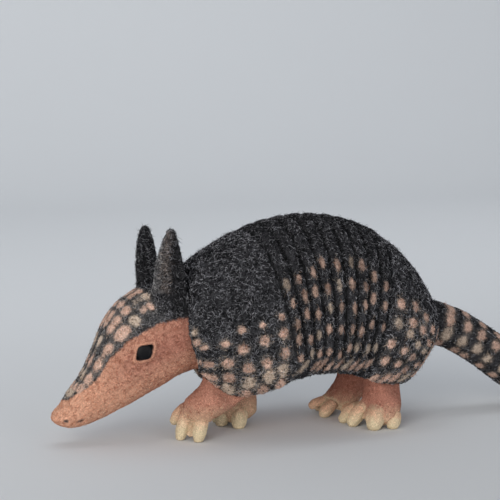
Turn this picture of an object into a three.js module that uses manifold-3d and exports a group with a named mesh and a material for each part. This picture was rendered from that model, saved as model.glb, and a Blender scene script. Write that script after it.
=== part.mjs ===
// A needle-felted wool figure of a nine-banded armadillo, walking with its nose near the ground.
// Millimetres, +Z up. The head points along -X and the animal's left side along -Y.
import * as THREE from "three";
import { mergeVertices } from "three/addons/utils/BufferGeometryUtils.js";
import Module from "manifold-3d";

const wasm = await Module();
wasm.setup();

// ---------------------------------------------------------------- driving sizes
const GAP = 0.3; // clear distance between neighbouring pieces
const SHELL = 3.4; // thickness of the wool carapace over the trunk
const MASK = 1.5; // thickness of the dark shield on the forehead
const EYE_RADIUS = 3.1;
const BELLY_LIFT = 2.0; // how far the belly stays above the carapace's lower edge
const CLAW_RADIUS = 2.7;
const TO_RADIANS = Math.PI / 180;

const COLOURS = { shell: 0x2e2e31, skin: 0xc98a6f, claw: 0xd9c79a, eye: 0x0a0a0a };

// The back is arched, so its bands stand in planes that fan out about one line below the floor.
const FAN = { x: -15, z: -80 };
// Fan angles of the first and the last groove, at the spine and at the lower edge of each side, and
// how much lower a band is along its edges than along its middle.
const BANDS = { count: 9, spine: [-4.6, 14.85], side: [-1.7, 13.95], crown: 1.1 };
// Fan angles of the carapace's edges over the neck and around the tail, at the spine and each side.
const FRONT_RIM = { top: -13.6, left: -19.4, right: -14.2 };
const REAR_RIM = { top: 27.4, left: 30.2, right: 30.2 };
const RIM_CURVE = 0.75; // share of the way down each side over which those edges turn

// The carapace in its fan planes: the angle, the radii from the fan line to the top of the back
// and to the widest level, the half width there, and the depth of the curve below that level.
const CARAPACE = [
  [-22, 138.0, 124.0, 19.0, 22],
  [-17, 144.3, 122.5, 25.2, 28],
  [-10, 151.4, 120.8, 30.6, 32],
  [-3, 158.0, 120.0, 33.2, 31],
  [5, 161.5, 120.0, 33.6, 30],
  [13, 159.8, 120.6, 31.8, 30],
  [20, 152.6, 122.0, 27.0, 30],
  [25, 144.8, 124.0, 21.6, 29],
  [29, 138.4, 126.4, 13.8, 24],
  [31.5, 133.4, 127.4, 6.4, 18],
];
// Radii of its lower edge: it hangs in a lobe over each leg and rises between them.
const LOWER_RIM = [
  [-22, 120.0],
  [-19, 110.0],
  [-16.5, 103.0],
  [-13.5, 98.6],
  [-8, 98.4],
  [-3, 101.0],
  [2, 103.4],
  [9, 104.0],
  [16, 102.6],
  [21, 103.2],
  [25, 105.0],
  [29, 108.4],
  [31.5, 113.4],
];

// ---------------------------------------------------------------- small helpers
const vec = (x, y, z) => new THREE.Vector3(x, y, z);
const clamp01 = (t) => THREE.MathUtils.clamp(t, 0, 1);
const lerp = THREE.MathUtils.lerp;

/** A smooth function through rows of numbers, where a row's first number is its place. */
function through(rows) {
  const row = (i) => rows[THREE.MathUtils.clamp(i, 0, rows.length - 1)];
  return (at) => {
    const found = rows.findLastIndex((r) => r[0] <= at);
    const i = THREE.MathUtils.clamp(found, 0, rows.length - 2);
    const [before, start, end, after] = [row(i - 1), row(i), row(i + 1), row(i + 2)];
    const length = end[0] - start[0];
    const t = clamp01((at - start[0]) / length);
    const [t2, t3] = [t * t, t * t * t];
    return start.slice(1).map((_, k) => {
      const [p0, p1, p2, p3] = [before, start, end, after].map((r) => r[k + 1]);
      const m1 = ((p2 - p0) / (end[0] - before[0])) * length;
      const m2 = ((p3 - p1) / (after[0] - start[0])) * length;
      return (2 * t3 - 3 * t2 + 1) * p1 + (t3 - 2 * t2 + t) * m1 + (3 * t2 - 2 * t3) * p2 + (t3 - t2) * m2;
    });
  };
}

/** Six times the volume inside a closed geometry, negative when it is inside out. */
function signedVolume(geometry) {
  const position = geometry.getAttribute("position");
  const corner = (i) => vec(0, 0, 0).fromBufferAttribute(position, geometry.index.array[i]);
  let volume = 0;
  for (let i = 0; i < geometry.index.count; i += 3) {
    volume += corner(i).dot(corner(i + 1).cross(corner(i + 2)));
  }
  return volume;
}

/** Moves every vertex of a closed three.js geometry to place(vertex) and keeps it one closed skin. */
function warp(geometry, place) {
  const position = geometry.getAttribute("position");
  const vertex = vec(0, 0, 0);
  for (let i = 0; i < position.count; i++) {
    const p = place(vertex.fromBufferAttribute(position, i).clone());
    position.setXYZ(i, p.x, p.y, p.z);
  }
  geometry.deleteAttribute("normal");
  geometry.deleteAttribute("uv");
  const merged = mergeVertices(geometry, 1e-3);
  const corners = merged.index.array;
  const faces = [];
  for (let i = 0; i < corners.length; i += 3) {
    const face = [corners[i], corners[i + 1], corners[i + 2]];
    if (new Set(face).size === 3) faces.push(face);
  }
  merged.setIndex(faces.flat());
  if (signedVolume(merged) < 0) {
    merged.setIndex(faces.flatMap((face) => face.reverse()));
  }
  return merged;
}

/** A closed three.js geometry as a solid that can be cut and joined. */
function solid(geometry) {
  const bare = geometry.clone();
  bare.deleteAttribute("normal");
  bare.deleteAttribute("uv");
  const merged = mergeVertices(bare, 1e-4);
  const vertProperties = new Float32Array(merged.getAttribute("position").array);
  const triVerts = new Uint32Array(merged.index.array);
  return new wasm.Manifold(new wasm.Mesh({ numProp: 3, vertProperties, triVerts }));
}

/** A solid as a geometry again. Where cutting left several lumps, the largest is the piece. */
function largest(cut) {
  const lump = cut.decompose().sort((a, b) => b.volume() - a.volume())[0];
  const mesh = lump.getMesh();
  return new THREE.BufferGeometry()
    .setAttribute("position", new THREE.BufferAttribute(Float32Array.from(mesh.vertProperties), 3))
    .setIndex(new THREE.BufferAttribute(Uint32Array.from(mesh.triVerts), 1));
}

/** A box between its lowest and highest corners, as a cutter. */
function block(low, high) {
  const box = new THREE.BoxGeometry(high[0] - low[0], high[1] - low[1], high[2] - low[2]);
  box.translate((high[0] + low[0]) / 2, (high[1] + low[1]) / 2, (high[2] + low[2]) / 2);
  return solid(box);
}

const UNDER_FLOOR = block([-300, -200, -60], [300, 200, 0]);

/** A quarter-circle rise from 0 to 1 over a share of a length, for a rounded end. */
function roundEnd(t, share) {
  return share > 0 ? Math.sqrt(1 - (1 - clamp01(t / share)) ** 2) : 1;
}

/**
 * The surface of a rounded body through cross sections, each with a centre `at` and half axes
 * `up` and `side`. It gives the point at a share of the length and a turn from the top, moved out
 * by `grow`. The ends are rounded over the two shares in `round`.
 */
function surfaceThrough(sections, round = [0.12, 0.12]) {
  const curve = (key) => new THREE.CatmullRomCurve3(sections.map((s) => s[key]), false, "centripetal");
  const [centre, up, side] = ["at", "up", "side"].map(curve);
  return (t, turn, grow = 0) => {
    const close = roundEnd(t, round[0]) * roundEnd(1 - t, round[1]);
    const reach = (axis, share) => {
      const half = axis.getPoint(t);
      return half.setLength((half.length() + grow) * share * close);
    };
    const signed = (vector, share) => (share < 0 ? vector.negate() : vector);
    return centre
      .getPoint(t)
      .add(signed(reach(side, Math.abs(Math.sin(turn))), Math.sin(turn)))
      .add(signed(reach(up, Math.abs(Math.cos(turn))), Math.cos(turn)))
      .addScaledVector(centre.getTangent(t), Math.abs(2 * t - 1) > 0.9 ? grow * (2 * t - 1) : 0);
  };
}

/** A closed body on such a surface, larger all round by `grow`. */
function bodyOn(surface, sides, rings, grow = 0) {
  return warp(new THREE.SphereGeometry(1, sides, rings), (v) => {
    return surface((1 - v.y) / 2, Math.atan2(v.x, v.z), grow);
  });
}

/** A cross section given by its top and bottom points in the side view, [x, z], and its half width. */
function slice(top, bottom, half, y = 0) {
  return {
    at: vec((top[0] + bottom[0]) / 2, y, (top[1] + bottom[1]) / 2),
    up: vec((top[0] - bottom[0]) / 2, 0, (top[1] - bottom[1]) / 2),
    side: vec(0, half, 0),
  };
}

/** A cross section of a limb: its centre, its half length and half width, and its lean forward in degrees. */
function limbSlice([x, y, z, long, wide, lean = 0]) {
  const a = lean * TO_RADIANS;
  return {
    at: vec(x, y, z),
    up: vec(long * Math.cos(a), 0, -long * Math.sin(a)),
    side: vec(0, wide, 0),
  };
}

// ---------------------------------------------------------------- carapace
const sectionAt = through(CARAPACE);
const lowerRimAt = through(LOWER_RIM);

/** A point in a fan plane: the angle of the plane, the radius from the fan line, and the side. */
function inFan(angle, radius, y) {
  const a = angle * TO_RADIANS;
  return vec(FAN.x + radius * Math.sin(a), y, FAN.z + radius * Math.cos(a));
}

/** A point of the carapace: fan angle, turn down from the spine, and depth under its surface. */
function onCarapace(angle, turn, depth = 0) {
  const [top, middle, half, drop] = sectionAt(angle);
  const rise = Math.cos(turn) > 0 ? top - middle : drop;
  const radius = middle + (rise - depth) * Math.cos(turn);
  return inFan(angle, radius, Math.max(half - depth, 0.5) * Math.sin(turn));
}

/** How far down from the spine the carapace reaches at a fan angle. */
function rimTurn(angle) {
  const [, middle, , drop] = sectionAt(angle);
  return Math.acos(THREE.MathUtils.clamp((lowerRimAt(angle)[0] - middle) / drop, -0.97, 1));
}

/** A fan angle that changes smoothly from the middle of the back to the sides. */
function rim({ top, left, right }, across) {
  const down = Math.min(Math.abs(across) / RIM_CURVE, 1);
  return lerp(top, across < 0 ? left : right, Math.sin((down * Math.PI) / 2));
}

/** A curved plate of the carapace between two fan angles, which may vary across it. */
function plate(from, to, { along = 2, across = 22, edge = 0, outer = 0, inner = SHELL, reach = 1 } = {}) {
  return warp(new THREE.BoxGeometry(1, 1, 1, along, across, 1), (v) => {
    const c = v.y * 2;
    const t = v.x + 0.5;
    const angle = lerp(from(c), to(c), t);
    const crown = BANDS.crown * Math.max(0, (Math.abs(2 * t - 1) - edge) / (1 - edge)) ** 2;
    const depth = v.z > 0 ? outer + (outer < 0 ? 0 : crown) : inner;
    return onCarapace(angle, c * rimTurn(angle) * reach, depth);
  });
}

/** The fan angle of groove k, which sweeps a little towards the lower edge. */
function grooveAt(k, across) {
  const share = k / BANDS.count;
  return lerp(lerp(...BANDS.spine, share), lerp(...BANDS.side, share), Math.abs(across) ** 3);
}
const HALF_GAP = Math.atan(GAP / 2 / 110) / TO_RADIANS; // half of the gap between plates, as a fan angle
const frontRim = (across) => rim(FRONT_RIM, across);
const rearRim = (across) => rim(REAR_RIM, across);

/** The whole carapace with clear space all round it, to cut its neighbours with. */
const CARAPACE_SPACE = solid(
  plate((c) => frontRim(c) - 0.3, (c) => rearRim(c) + 0.3, {
    along: 10,
    across: 20,
    outer: -6,
    inner: SHELL + GAP,
    reach: 1.02,
  }),
);

// ---------------------------------------------------------------- trunk
// Fan angles of its ends, how its ends are rounded, and the share of the half turn from spine to
// belly line that lies under the carapace.
const TRUNK = { from: -19.5, to: 28.6, round: 0.12, covered: 0.74 };

/** The trunk fills the carapace and closes it below with the belly, larger all round by `grow`. */
function trunk(grow, { sides = 18, rings = 12 } = {}) {
  return warp(new THREE.SphereGeometry(1, sides, rings), (v) => {
    const t = (1 - v.y) / 2;
    const angle = lerp(TRUNK.from - grow * 0.5, TRUNK.to + grow * 0.5, t);
    const close = roundEnd(t, TRUNK.round) * roundEnd(1 - t, TRUNK.round);
    const around = Math.atan2(v.x, v.z) / Math.PI;
    const depth = SHELL + GAP - grow;
    const turn = Math.min(Math.abs(around) / TRUNK.covered, 1) * rimTurn(angle);
    const edge = onCarapace(angle, turn, depth);
    const under = clamp01((Math.abs(around) - TRUNK.covered) / (1 - TRUNK.covered)) * (Math.PI / 2);
    const lift = BELLY_LIFT * Math.sin(under) - grow * (under > 0);
    const radius = Math.hypot(edge.x - FAN.x, edge.z - FAN.z) + lift;
    const [, middle] = sectionAt(angle);
    const y = Math.sign(around) * edge.y * Math.cos(under);
    return inFan(angle, lerp(middle, radius, close), y * close);
  });
}
const BODY_SPACE = solid(trunk(GAP)).add(CARAPACE_SPACE); // the trunk and carapace with space round them

// ---------------------------------------------------------------- head and neck
// Top and bottom of the head in the side view, and its half width, from the nape to the snout.
const HEAD = [
  slice([-43, 58.5], [-43, 26], 17),
  slice([-50, 58.2], [-48, 24.5], 18.5),
  slice([-59, 55.4], [-55, 22.6], 17.6),
  slice([-68.6, 54.4], [-62, 18.6], 15.6),
  slice([-76.2, 50.2], [-69.5, 14.6], 13.0),
  slice([-82.2, 43.0], [-77, 11.2], 10.6),
  slice([-86.6, 32.8], [-83.4, 8.6], 8.6),
  slice([-91.2, 23.8], [-89, 6.6], 7.2),
  slice([-97.6, 16.4], [-95, 5.8], 6.2),
  slice([-104.6, 12.4], [-101, 6.2], 4.9),
];
const headSurface = surfaceThrough(HEAD, [0.05, 0.09]);
const headBody = (grow = 0) => bodyOn(headSurface, 18, 16, grow);
const NAPE = -57.5; // where the head begins, just behind the ears
const IN_FRONT = block([-200, -60, -20], [NAPE - GAP / 2, 60, 140]);
const BEHIND = block([NAPE + GAP / 2, -60, -20], [60, 60, 140]);

// The dark shield of the forehead: a raised patch from between the ears to a point on the snout.
// Shares of the head's length, half width in degrees round the head, and the shares over which it
// narrows and thins towards the snout.
const FOREHEAD = { from: 0.225, to: 0.905, half: 63, taper: 0.15, thin: 0.06 };
const FOREHEAD_LOW = GAP + 0.3; // height of the patch's underside over the head
const FOREHEAD_RIM = 0.5; // thickness of its edge

/** The forehead's patch. With a `spread` it is wider and even in height, to cut the ears with. */
function foreheadPatch({ along = 10, across = 8, low = FOREHEAD_LOW, high = MASK, spread = 0 } = {}) {
  return warp(new THREE.BoxGeometry(1, 1, 1, along, across, 1), (v) => {
    const t = lerp(FOREHEAD.from - spread, FOREHEAD.to, v.x + 0.5);
    const half = FOREHEAD.half * (1 + spread) * Math.max(roundEnd(FOREHEAD.to - t, FOREHEAD.taper), 0.15);
    const edge = clamp01(Math.max(Math.abs(v.y * 2), 1 - (FOREHEAD.to - t) / FOREHEAD.thin)) ** 4;
    const outer = spread > 0 ? high : lerp(high, low + FOREHEAD_RIM, edge);
    return headSurface(t, v.y * 2 * half * TO_RADIANS, v.z > 0 ? outer : low);
  });
}

// The eyes are round beads set into the sides of the head.
const EYE = { x: -71.3, y: 12.0, z: 34.0 };

function eyeBead(side, grow = 0) {
  const bead = new THREE.SphereGeometry(EYE_RADIUS + grow, 10, 7);
  bead.translate(EYE.x, side * EYE.y, EYE.z);
  return bead;
}

// An ear is a leaf of felt, cupped towards the front and the side: the middle of its base, its
// thickness and depth of cup, and how far the tip leans forward. It also leans outward by a share
// of its height, and a little to the rear at the tip.
const EAR = { x: -60.2, y: 8.8, z: 46, thick: 3.4, cup: 2.2, forward: 2.4 };
const EAR_LEAN = { outward: 0.13, across: 1.2 };
const EAR_TIP = { from: 0.2, narrowest: 0.22 }; // where it starts to narrow, and to what share
// The two aren't quite alike: the right one is turned further to its side and is blunter. Height,
// half width, how much wider the base is, the turn of the hollow from the front in degrees.
const EARS = {
  left: { height: 32, half: 6.3, flare: 0.17, forward: 0, turned: 56, sharp: 0.7 },
  right: { height: 31, half: 6.0, flare: 0, forward: 0.7, turned: 64, sharp: 0.42 },
};

function ear(name, side, { along = 7, across = 4 } = {}) {
  const { height, half: wide, flare, forward, turned, sharp } = EARS[name];
  const a = turned * TO_RADIANS;
  const facing = vec(-Math.cos(a), side * Math.sin(a), 0);
  const broad = vec(Math.sin(a), side * Math.cos(a), 0);
  return warp(new THREE.BoxGeometry(1, 1, 1, across, 1, along), (v) => {
    const [u, t] = [v.x * 2, v.z + 0.5];
    const taper = (1 - Math.max(0, (t - EAR_TIP.from) / (1 - EAR_TIP.from)) ** 2) ** sharp;
    const half = wide * Math.max(taper, EAR_TIP.narrowest) * (1 + flare * (1 - t) ** 2);
    const cup = EAR.cup * (u * u - 0.6) * (half / wide);
    const thick = EAR.thick * lerp(1, 0.4, u * u) * lerp(1, 0.65, t);
    return vec(EAR.x - forward, side * EAR.y, EAR.z)
      .addScaledVector(broad, u * half + EAR_LEAN.across * t * t)
      .addScaledVector(facing, cup + v.y * thick)
      .add(vec(-EAR.forward * t, side * EAR_LEAN.outward * height * t, height * t));
  });
}

// ---------------------------------------------------------------- tail
// Along the tail: centre and radius. It falls from the carapace and trails on the floor.
const TAIL = [
  [44, 0, 38.2, 9.0],
  [51, 0, 36.4, 8.9],
  [66, 0, 30.5, 8.7],
  [84, -1, 17.8, 9.0],
  [99, -4, 9.2, 7.8],
  [114, -9, 5.6, 6.2],
  [130, -16, 3.6, 4.2],
  [143, -23, 2.0, 2.4],
];

function tail() {
  const sections = TAIL.map(([x, y, z, radius]) => limbSlice([x, y, z, radius, radius, -70]));
  return bodyOn(surfaceThrough(sections, [0.06, 0.06]), 10, 15);
}

// ---------------------------------------------------------------- legs and claws
// Cross sections from the body down to the foot: x, y, z, half length, half width, lean forward.
const LEGS = {
  front_left: [
    [-37.6, -13.6, 30, 10, 8],
    [-37.4, -14, 22.4, 11.6, 8.4],
    [-44.4, -14.0, 16, 11.4, 8.8, 7],
    [-50.8, -11.6, 10.8, 6.8, 8.8, 28],
    [-53.2, -8.6, 7.4, 4.4, 7.4, 30],
  ],
  front_right: [
    [-30, 13.6, 30, 10, 8],
    [-29, 13.6, 20, 10.5, 8.4],
    [-27.4, 12, 12, 9.8, 8.2],
    [-26.6, 9.8, 6, 8.8, 7.8],
    [-27.5, 8.6, 1, 7.2, 7.4],
  ],
  hind_left: [
    [24, -10.5, 32, 9.6, 7.4],
    [24.2, -11.2, 20, 9.4, 7.8],
    [24, -13.4, 12, 7.8, 8.2],
    [22.4, -15.0, 6, 7.6, 8.6],
    [20.6, -15.4, 1, 7.4, 8.8],
  ],
  hind_right: [
    [24.8, 11, 32, 8.2, 7.4],
    [25.4, 12.4, 20, 7.4, 7.8],
    [24.2, 13.0, 12, 7.2, 7.8, 15],
    [20.0, 12.6, 7.4, 7.6, 7.8, 14],
    [16.6, 11.8, 3.8, 6.6, 7.4, 34],
  ],
};
// Digits from the knuckle to the tip: x, y, z of each end, and the width against CLAW_RADIUS where
// it differs.
const CLAWS = {
  front_left: [
    [-49.6, -14.2, 11.5, -51.9, -13.8, -1, 1.1],
    [-53.8, -9.4, 12, -56.8, -7.8, -1, 1.05],
    [-51.8, -4.2, 12.8, -57.4, -1.2, 4.3],
    [-47.6, -5.2, 9.6, -47.0, 1.6, -0.8, 0.95],
  ],
  front_right: [
    [-27.6, 3.8, 8, -29.8, 1.4, -1, 1.25],
    [-31.6, 8.2, 7, -34.4, 9.0, -1, 1.1],
    [-31.0, 13.4, 7, -33.4, 15.6, -0.8],
    [-26.6, 16.2, 6.5, -28.4, 19.6, -0.8],
  ],
  hind_left: [
    [25.6, -18.4, 7, 23.0, -22.4, -0.2, 1.25],
    [19.0, -18.2, 8.4, 15.0, -21.6, -0.2, 1.45],
    [16.8, -12.2, 9, 10.2, -11.6, -0.2, 1.2],
    [17.0, -7.2, 8, 9.8, -4.0, 0, 1.1],
    [21.2, -5.4, 6.5, 16.4, 0.2, -0.4, 0.9],
  ],
  hind_right: [
    [14.0, 8.2, 6.4, 7.2, 7.4, 0, 1.05],
    [12.6, 12.8, 6.6, 5.0, 13.8, 3.0, 0.9],
    [15.2, 17.2, 6.0, 11.6, 21.0, -0.2],
    [20.8, 18.0, 6, 18.0, 23.4, -0.2],
    [19.4, 8.0, 5.5, 16.6, 4.6, -0.2, 0.9],
  ],
};

const legBody = (rows, grow = 0) => bodyOn(surfaceThrough(rows.map(limbSlice), [0.05, 0.22]), 10, 7, grow);

/** A blunt felt digit from its knuckle to its tip. */
function claw([x0, y0, z0, x1, y1, z1, wide = 1], grow = 0) {
  const radius = CLAW_RADIUS * wide;
  const [root, tip] = [vec(x0, y0, z0), vec(x1, y1, z1)];
  const along = tip.clone().sub(root).normalize();
  const up = vec(0, 1, 0).cross(along).normalize();
  const side = along.clone().cross(up);
  const sections = [0, 0.5, 1].map((t) => ({
    at: root.clone().lerp(tip, t),
    up: up.clone().multiplyScalar(radius * lerp(1, 0.9, t)),
    side: side.clone().multiplyScalar(radius * lerp(1, 0.9, t)),
  }));
  return bodyOn(surfaceThrough(sections, [0.2, 0.35]), 7, 5, grow);
}

// ---------------------------------------------------------------- the figure
const figure = new THREE.Group();

function add(name, geometry, colour) {
  const material = new THREE.MeshStandardMaterial({ color: colour, roughness: 0.95, metalness: 0 });
  const mesh = new THREE.Mesh(geometry, material);
  mesh.name = name;
  figure.add(mesh);
}

function addCarapace() {
  const shoulder = plate(frontRim, (c) => grooveAt(0, c) - HALF_GAP, { along: 7, edge: 0.8 });
  add("shoulder_shield", shoulder, COLOURS.shell);
  for (let k = 0; k < BANDS.count; k++) {
    const band = plate((c) => grooveAt(k, c) + HALF_GAP, (c) => grooveAt(k + 1, c) - HALF_GAP);
    add(`band_${k + 1}`, band, COLOURS.shell);
  }
  const hip = plate((c) => grooveAt(BANDS.count, c) + HALF_GAP, rearRim, { along: 6, edge: 0.8 });
  add("hip_shield", hip, COLOURS.shell);
}

function addHead() {
  const whole = solid(headBody()).subtract(CARAPACE_SPACE);
  add("neck", largest(whole.intersect(BEHIND)), COLOURS.skin);
  const sockets = solid(eyeBead(-1, GAP)).add(solid(eyeBead(1, GAP)));
  add("head", largest(whole.intersect(IN_FRONT).subtract(sockets)), COLOURS.skin);
  add("head_shield", foreheadPatch(), COLOURS.shell);
  const patch = solid(foreheadPatch({ low: -2, high: MASK + GAP, spread: 0.03 }));
  const below = solid(headBody(GAP)).add(patch).add(CARAPACE_SPACE);
  for (const [name, side] of [["left", -1], ["right", 1]]) {
    add(`eye_${name}`, eyeBead(side), COLOURS.eye);
    add(`ear_${name}`, largest(solid(ear(name, side)).subtract(below)), COLOURS.shell);
  }
}

function addLegs() {
  for (const [name, rows] of Object.entries(LEGS)) {
    const digits = CLAWS[name];
    let leg = solid(legBody(rows)).subtract(BODY_SPACE).subtract(UNDER_FLOOR);
    digits.forEach((digit, k) => {
      leg = leg.subtract(solid(claw(digit, GAP)));
      add(`claw_${name}_${k + 1}`, largest(solid(claw(digit)).subtract(UNDER_FLOOR)), COLOURS.claw);
    });
    add(`leg_${name}`, largest(leg), COLOURS.skin);
  }
}

addCarapace();
addHead();
add("trunk", largest(solid(trunk(0)).subtract(solid(headBody(GAP)))), COLOURS.skin);
add("tail", largest(solid(tail()).subtract(BODY_SPACE).subtract(UNDER_FLOOR)), COLOURS.shell);
addLegs();

// The figure stands on the floor, with the middle of its plan over the origin.
const bounds = new THREE.Box3().setFromObject(figure);
const middle = bounds.getCenter(vec(0, 0, 0));
figure.position.set(-middle.x, -middle.y, -bounds.min.z);

export default figure;
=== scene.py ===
"""A needle-felted wool armadillo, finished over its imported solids.

The solids give every size. This script fuses them into felted forms, works in the details that
the needle leaves, lays loose wool fibres over them and sets up a plain studio. Metres, +Z up: the
head points along -X and the animal's left side along -Y.
"""

import logging
import math
from collections.abc import Callable, Sequence
from dataclasses import dataclass, field
from enum import Enum

import bpy
import numpy as np
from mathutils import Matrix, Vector, noise
from mathutils.bvhtree import BVHTree

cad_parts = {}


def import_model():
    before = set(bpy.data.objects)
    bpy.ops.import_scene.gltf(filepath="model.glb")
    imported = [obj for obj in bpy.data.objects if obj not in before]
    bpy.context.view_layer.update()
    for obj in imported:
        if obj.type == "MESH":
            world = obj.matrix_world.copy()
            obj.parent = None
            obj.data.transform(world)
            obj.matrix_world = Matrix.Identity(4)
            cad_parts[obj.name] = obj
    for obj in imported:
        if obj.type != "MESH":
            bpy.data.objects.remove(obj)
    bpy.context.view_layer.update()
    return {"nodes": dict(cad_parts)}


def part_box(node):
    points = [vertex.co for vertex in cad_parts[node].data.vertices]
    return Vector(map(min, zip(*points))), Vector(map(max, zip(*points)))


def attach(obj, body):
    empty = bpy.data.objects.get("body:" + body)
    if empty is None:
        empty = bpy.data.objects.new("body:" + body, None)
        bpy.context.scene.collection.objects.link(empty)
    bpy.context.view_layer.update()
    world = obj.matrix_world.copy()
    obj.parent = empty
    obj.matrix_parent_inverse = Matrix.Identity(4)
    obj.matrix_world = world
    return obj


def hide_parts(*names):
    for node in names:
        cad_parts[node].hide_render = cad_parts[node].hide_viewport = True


LOG = logging.getLogger("armadillo")
MM = 0.001
TUCKED = 2.5 * MM  # felt that lies this close under a plate of the shell is out of sight
SIDES = (-1, 1)  # the animal's left and right
FAR = 9.0  # stands for a place that is far from every spot or eye, in their radii
Array = np.ndarray
Colour = tuple[float, float, float]
Layout = Callable[[Array], Array]  # from places on the felt to places on the bake map


# ---------------------------------------------------------------- numbers
def unit(vectors: Array) -> Array:
    """Each vector at length one."""
    length = np.linalg.norm(vectors, axis=-1, keepdims=True)
    return vectors / np.maximum(length, 1e-12)


def ease(values: Array, low: float, high: float) -> Array:
    """A smooth rise between two values.

    Args:
        values: the values.
        low: where the rise starts, at 0.
        high: where it ends, at 1; it may be the smaller of the two.
    Returns:
        The height of the rise at each value.
    """
    t = np.clip((values - low) / (high - low), 0.0, 1.0)
    return t * t * (3.0 - 2.0 * t)


def bell(distance: Array, width: float) -> Array:
    """A smooth bump that is 1 at distance 0 and fades over a width."""
    return np.exp(-((distance / width) ** 2))


def ripple(points: Array, size: float, seed: int = 0) -> Array:
    """Smooth noise between -1 and 1.

    Args:
        points: where it is read, one a row.
        size: size of its lumps, in metres.
        seed: picks one of many such patterns.
    Returns:
        The noise at each point.
    """
    shift = Vector((seed * 3.7, seed * 1.3, seed * 7.1))
    return np.array([noise.noise(Vector(p) + shift) for p in (points / size).tolist()])


# ---------------------------------------------------------------- shader maths
class Socket:
    """A node socket that Python's operators add Math nodes to."""

    def __init__(self, tree: bpy.types.NodeTree, socket: bpy.types.NodeSocket) -> None:
        """Wraps a socket of a node tree."""
        self.tree = tree
        self.socket = socket

    def _math(self, operation: str, first: "Socket | float", second: "Socket | float") -> "Socket":
        """Adds a Math node.

        Args:
            operation: what it does.
            first: its first value.
            second: its second value.
        Returns:
            Its output.
        """
        node = self.tree.nodes.new("ShaderNodeMath")
        node.operation = operation
        for place, value in zip(node.inputs, (first, second)):
            if isinstance(value, Socket):
                self.tree.links.new(value.socket, place)
            else:
                place.default_value = value
        return Socket(self.tree, node.outputs[0])

    def __add__(self, other: "Socket | float") -> "Socket":
        """self + other."""
        return self._math("ADD", self, other)

    def __sub__(self, other: "Socket | float") -> "Socket":
        """self - other."""
        return self._math("SUBTRACT", self, other)

    def __rsub__(self, other: float) -> "Socket":
        """other - self."""
        return self._math("SUBTRACT", other, self)

    def __mul__(self, other: "Socket | float") -> "Socket":
        """self * other."""
        return self._math("MULTIPLY", self, other)

    __radd__ = __add__
    __rmul__ = __mul__


class Finish:
    """A material in the making, with a Principled shader at its end."""

    def __init__(self, name: str) -> None:
        """Starts a material.

        Args:
            name: the material's name.
        """
        self.material = bpy.data.materials.new(name)
        self.material.use_nodes = True
        self.tree = self.material.node_tree
        self.shader = self.tree.nodes["Principled BSDF"]

    def node(
        self, kind: str, output: int | str = 0, settings: dict[str, object] | None = None, **inputs: object
    ) -> Socket:
        """Adds a node.

        Args:
            kind: the node's type.
            output: which of its outputs to return.
            settings: its own settings, such as an operation or a ramp's stops.
            inputs: values or sockets for its inputs, by name with _ for a space.
        Returns:
            The chosen output.
        """
        node = self.tree.nodes.new(kind)
        for key, value in (settings or {}).items():
            if key == "stops":
                self._stops(node.color_ramp, value)
            else:
                setattr(node, key, value)
        for key, value in inputs.items():
            self.link(node.inputs[int(key[1:]) if key[1:].isdigit() else key.replace("_", " ")], value)
        return Socket(self.tree, node.outputs[output])

    @staticmethod
    def _stops(ramp: bpy.types.ColorRamp, stops: list[tuple[float, float]]) -> None:
        """Sets a ramp's stops.

        Args:
            ramp: the ramp.
            stops: each a place and a grey value.
        """
        while len(ramp.elements) < len(stops):
            ramp.elements.new(0.5)
        for element, (place, value) in zip(ramp.elements, stops):
            element.position = place
            element.color = (value, value, value, 1.0)

    def link(self, place: bpy.types.NodeSocket, value: object) -> None:
        """Gives an input what it needs.

        Args:
            place: the input.
            value: a socket to link to it, or a plain value.
        """
        if isinstance(value, Socket):
            self.tree.links.new(value.socket, place)
        else:
            place.default_value = value

    def surface(self, **inputs: object) -> None:
        """Sets inputs of the Principled shader, by name with _ for a space."""
        for key, value in inputs.items():
            self.link(self.shader.inputs[key.replace("_", " ")], value)

    def mixed(self, factor: Socket | float, first: object, second: object, blend: str = "MIX") -> Socket:
        """Mixes two colours.

        Args:
            factor: how much of the second.
            first: a colour or socket.
            second: a colour or socket.
            blend: the way they are blended.
        Returns:
            The mixed colour.
        """
        settings = {"data_type": "RGBA", "blend_type": blend}
        return self.node("ShaderNodeMix", 2, settings, _0=factor, _6=first, _7=second)


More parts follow.
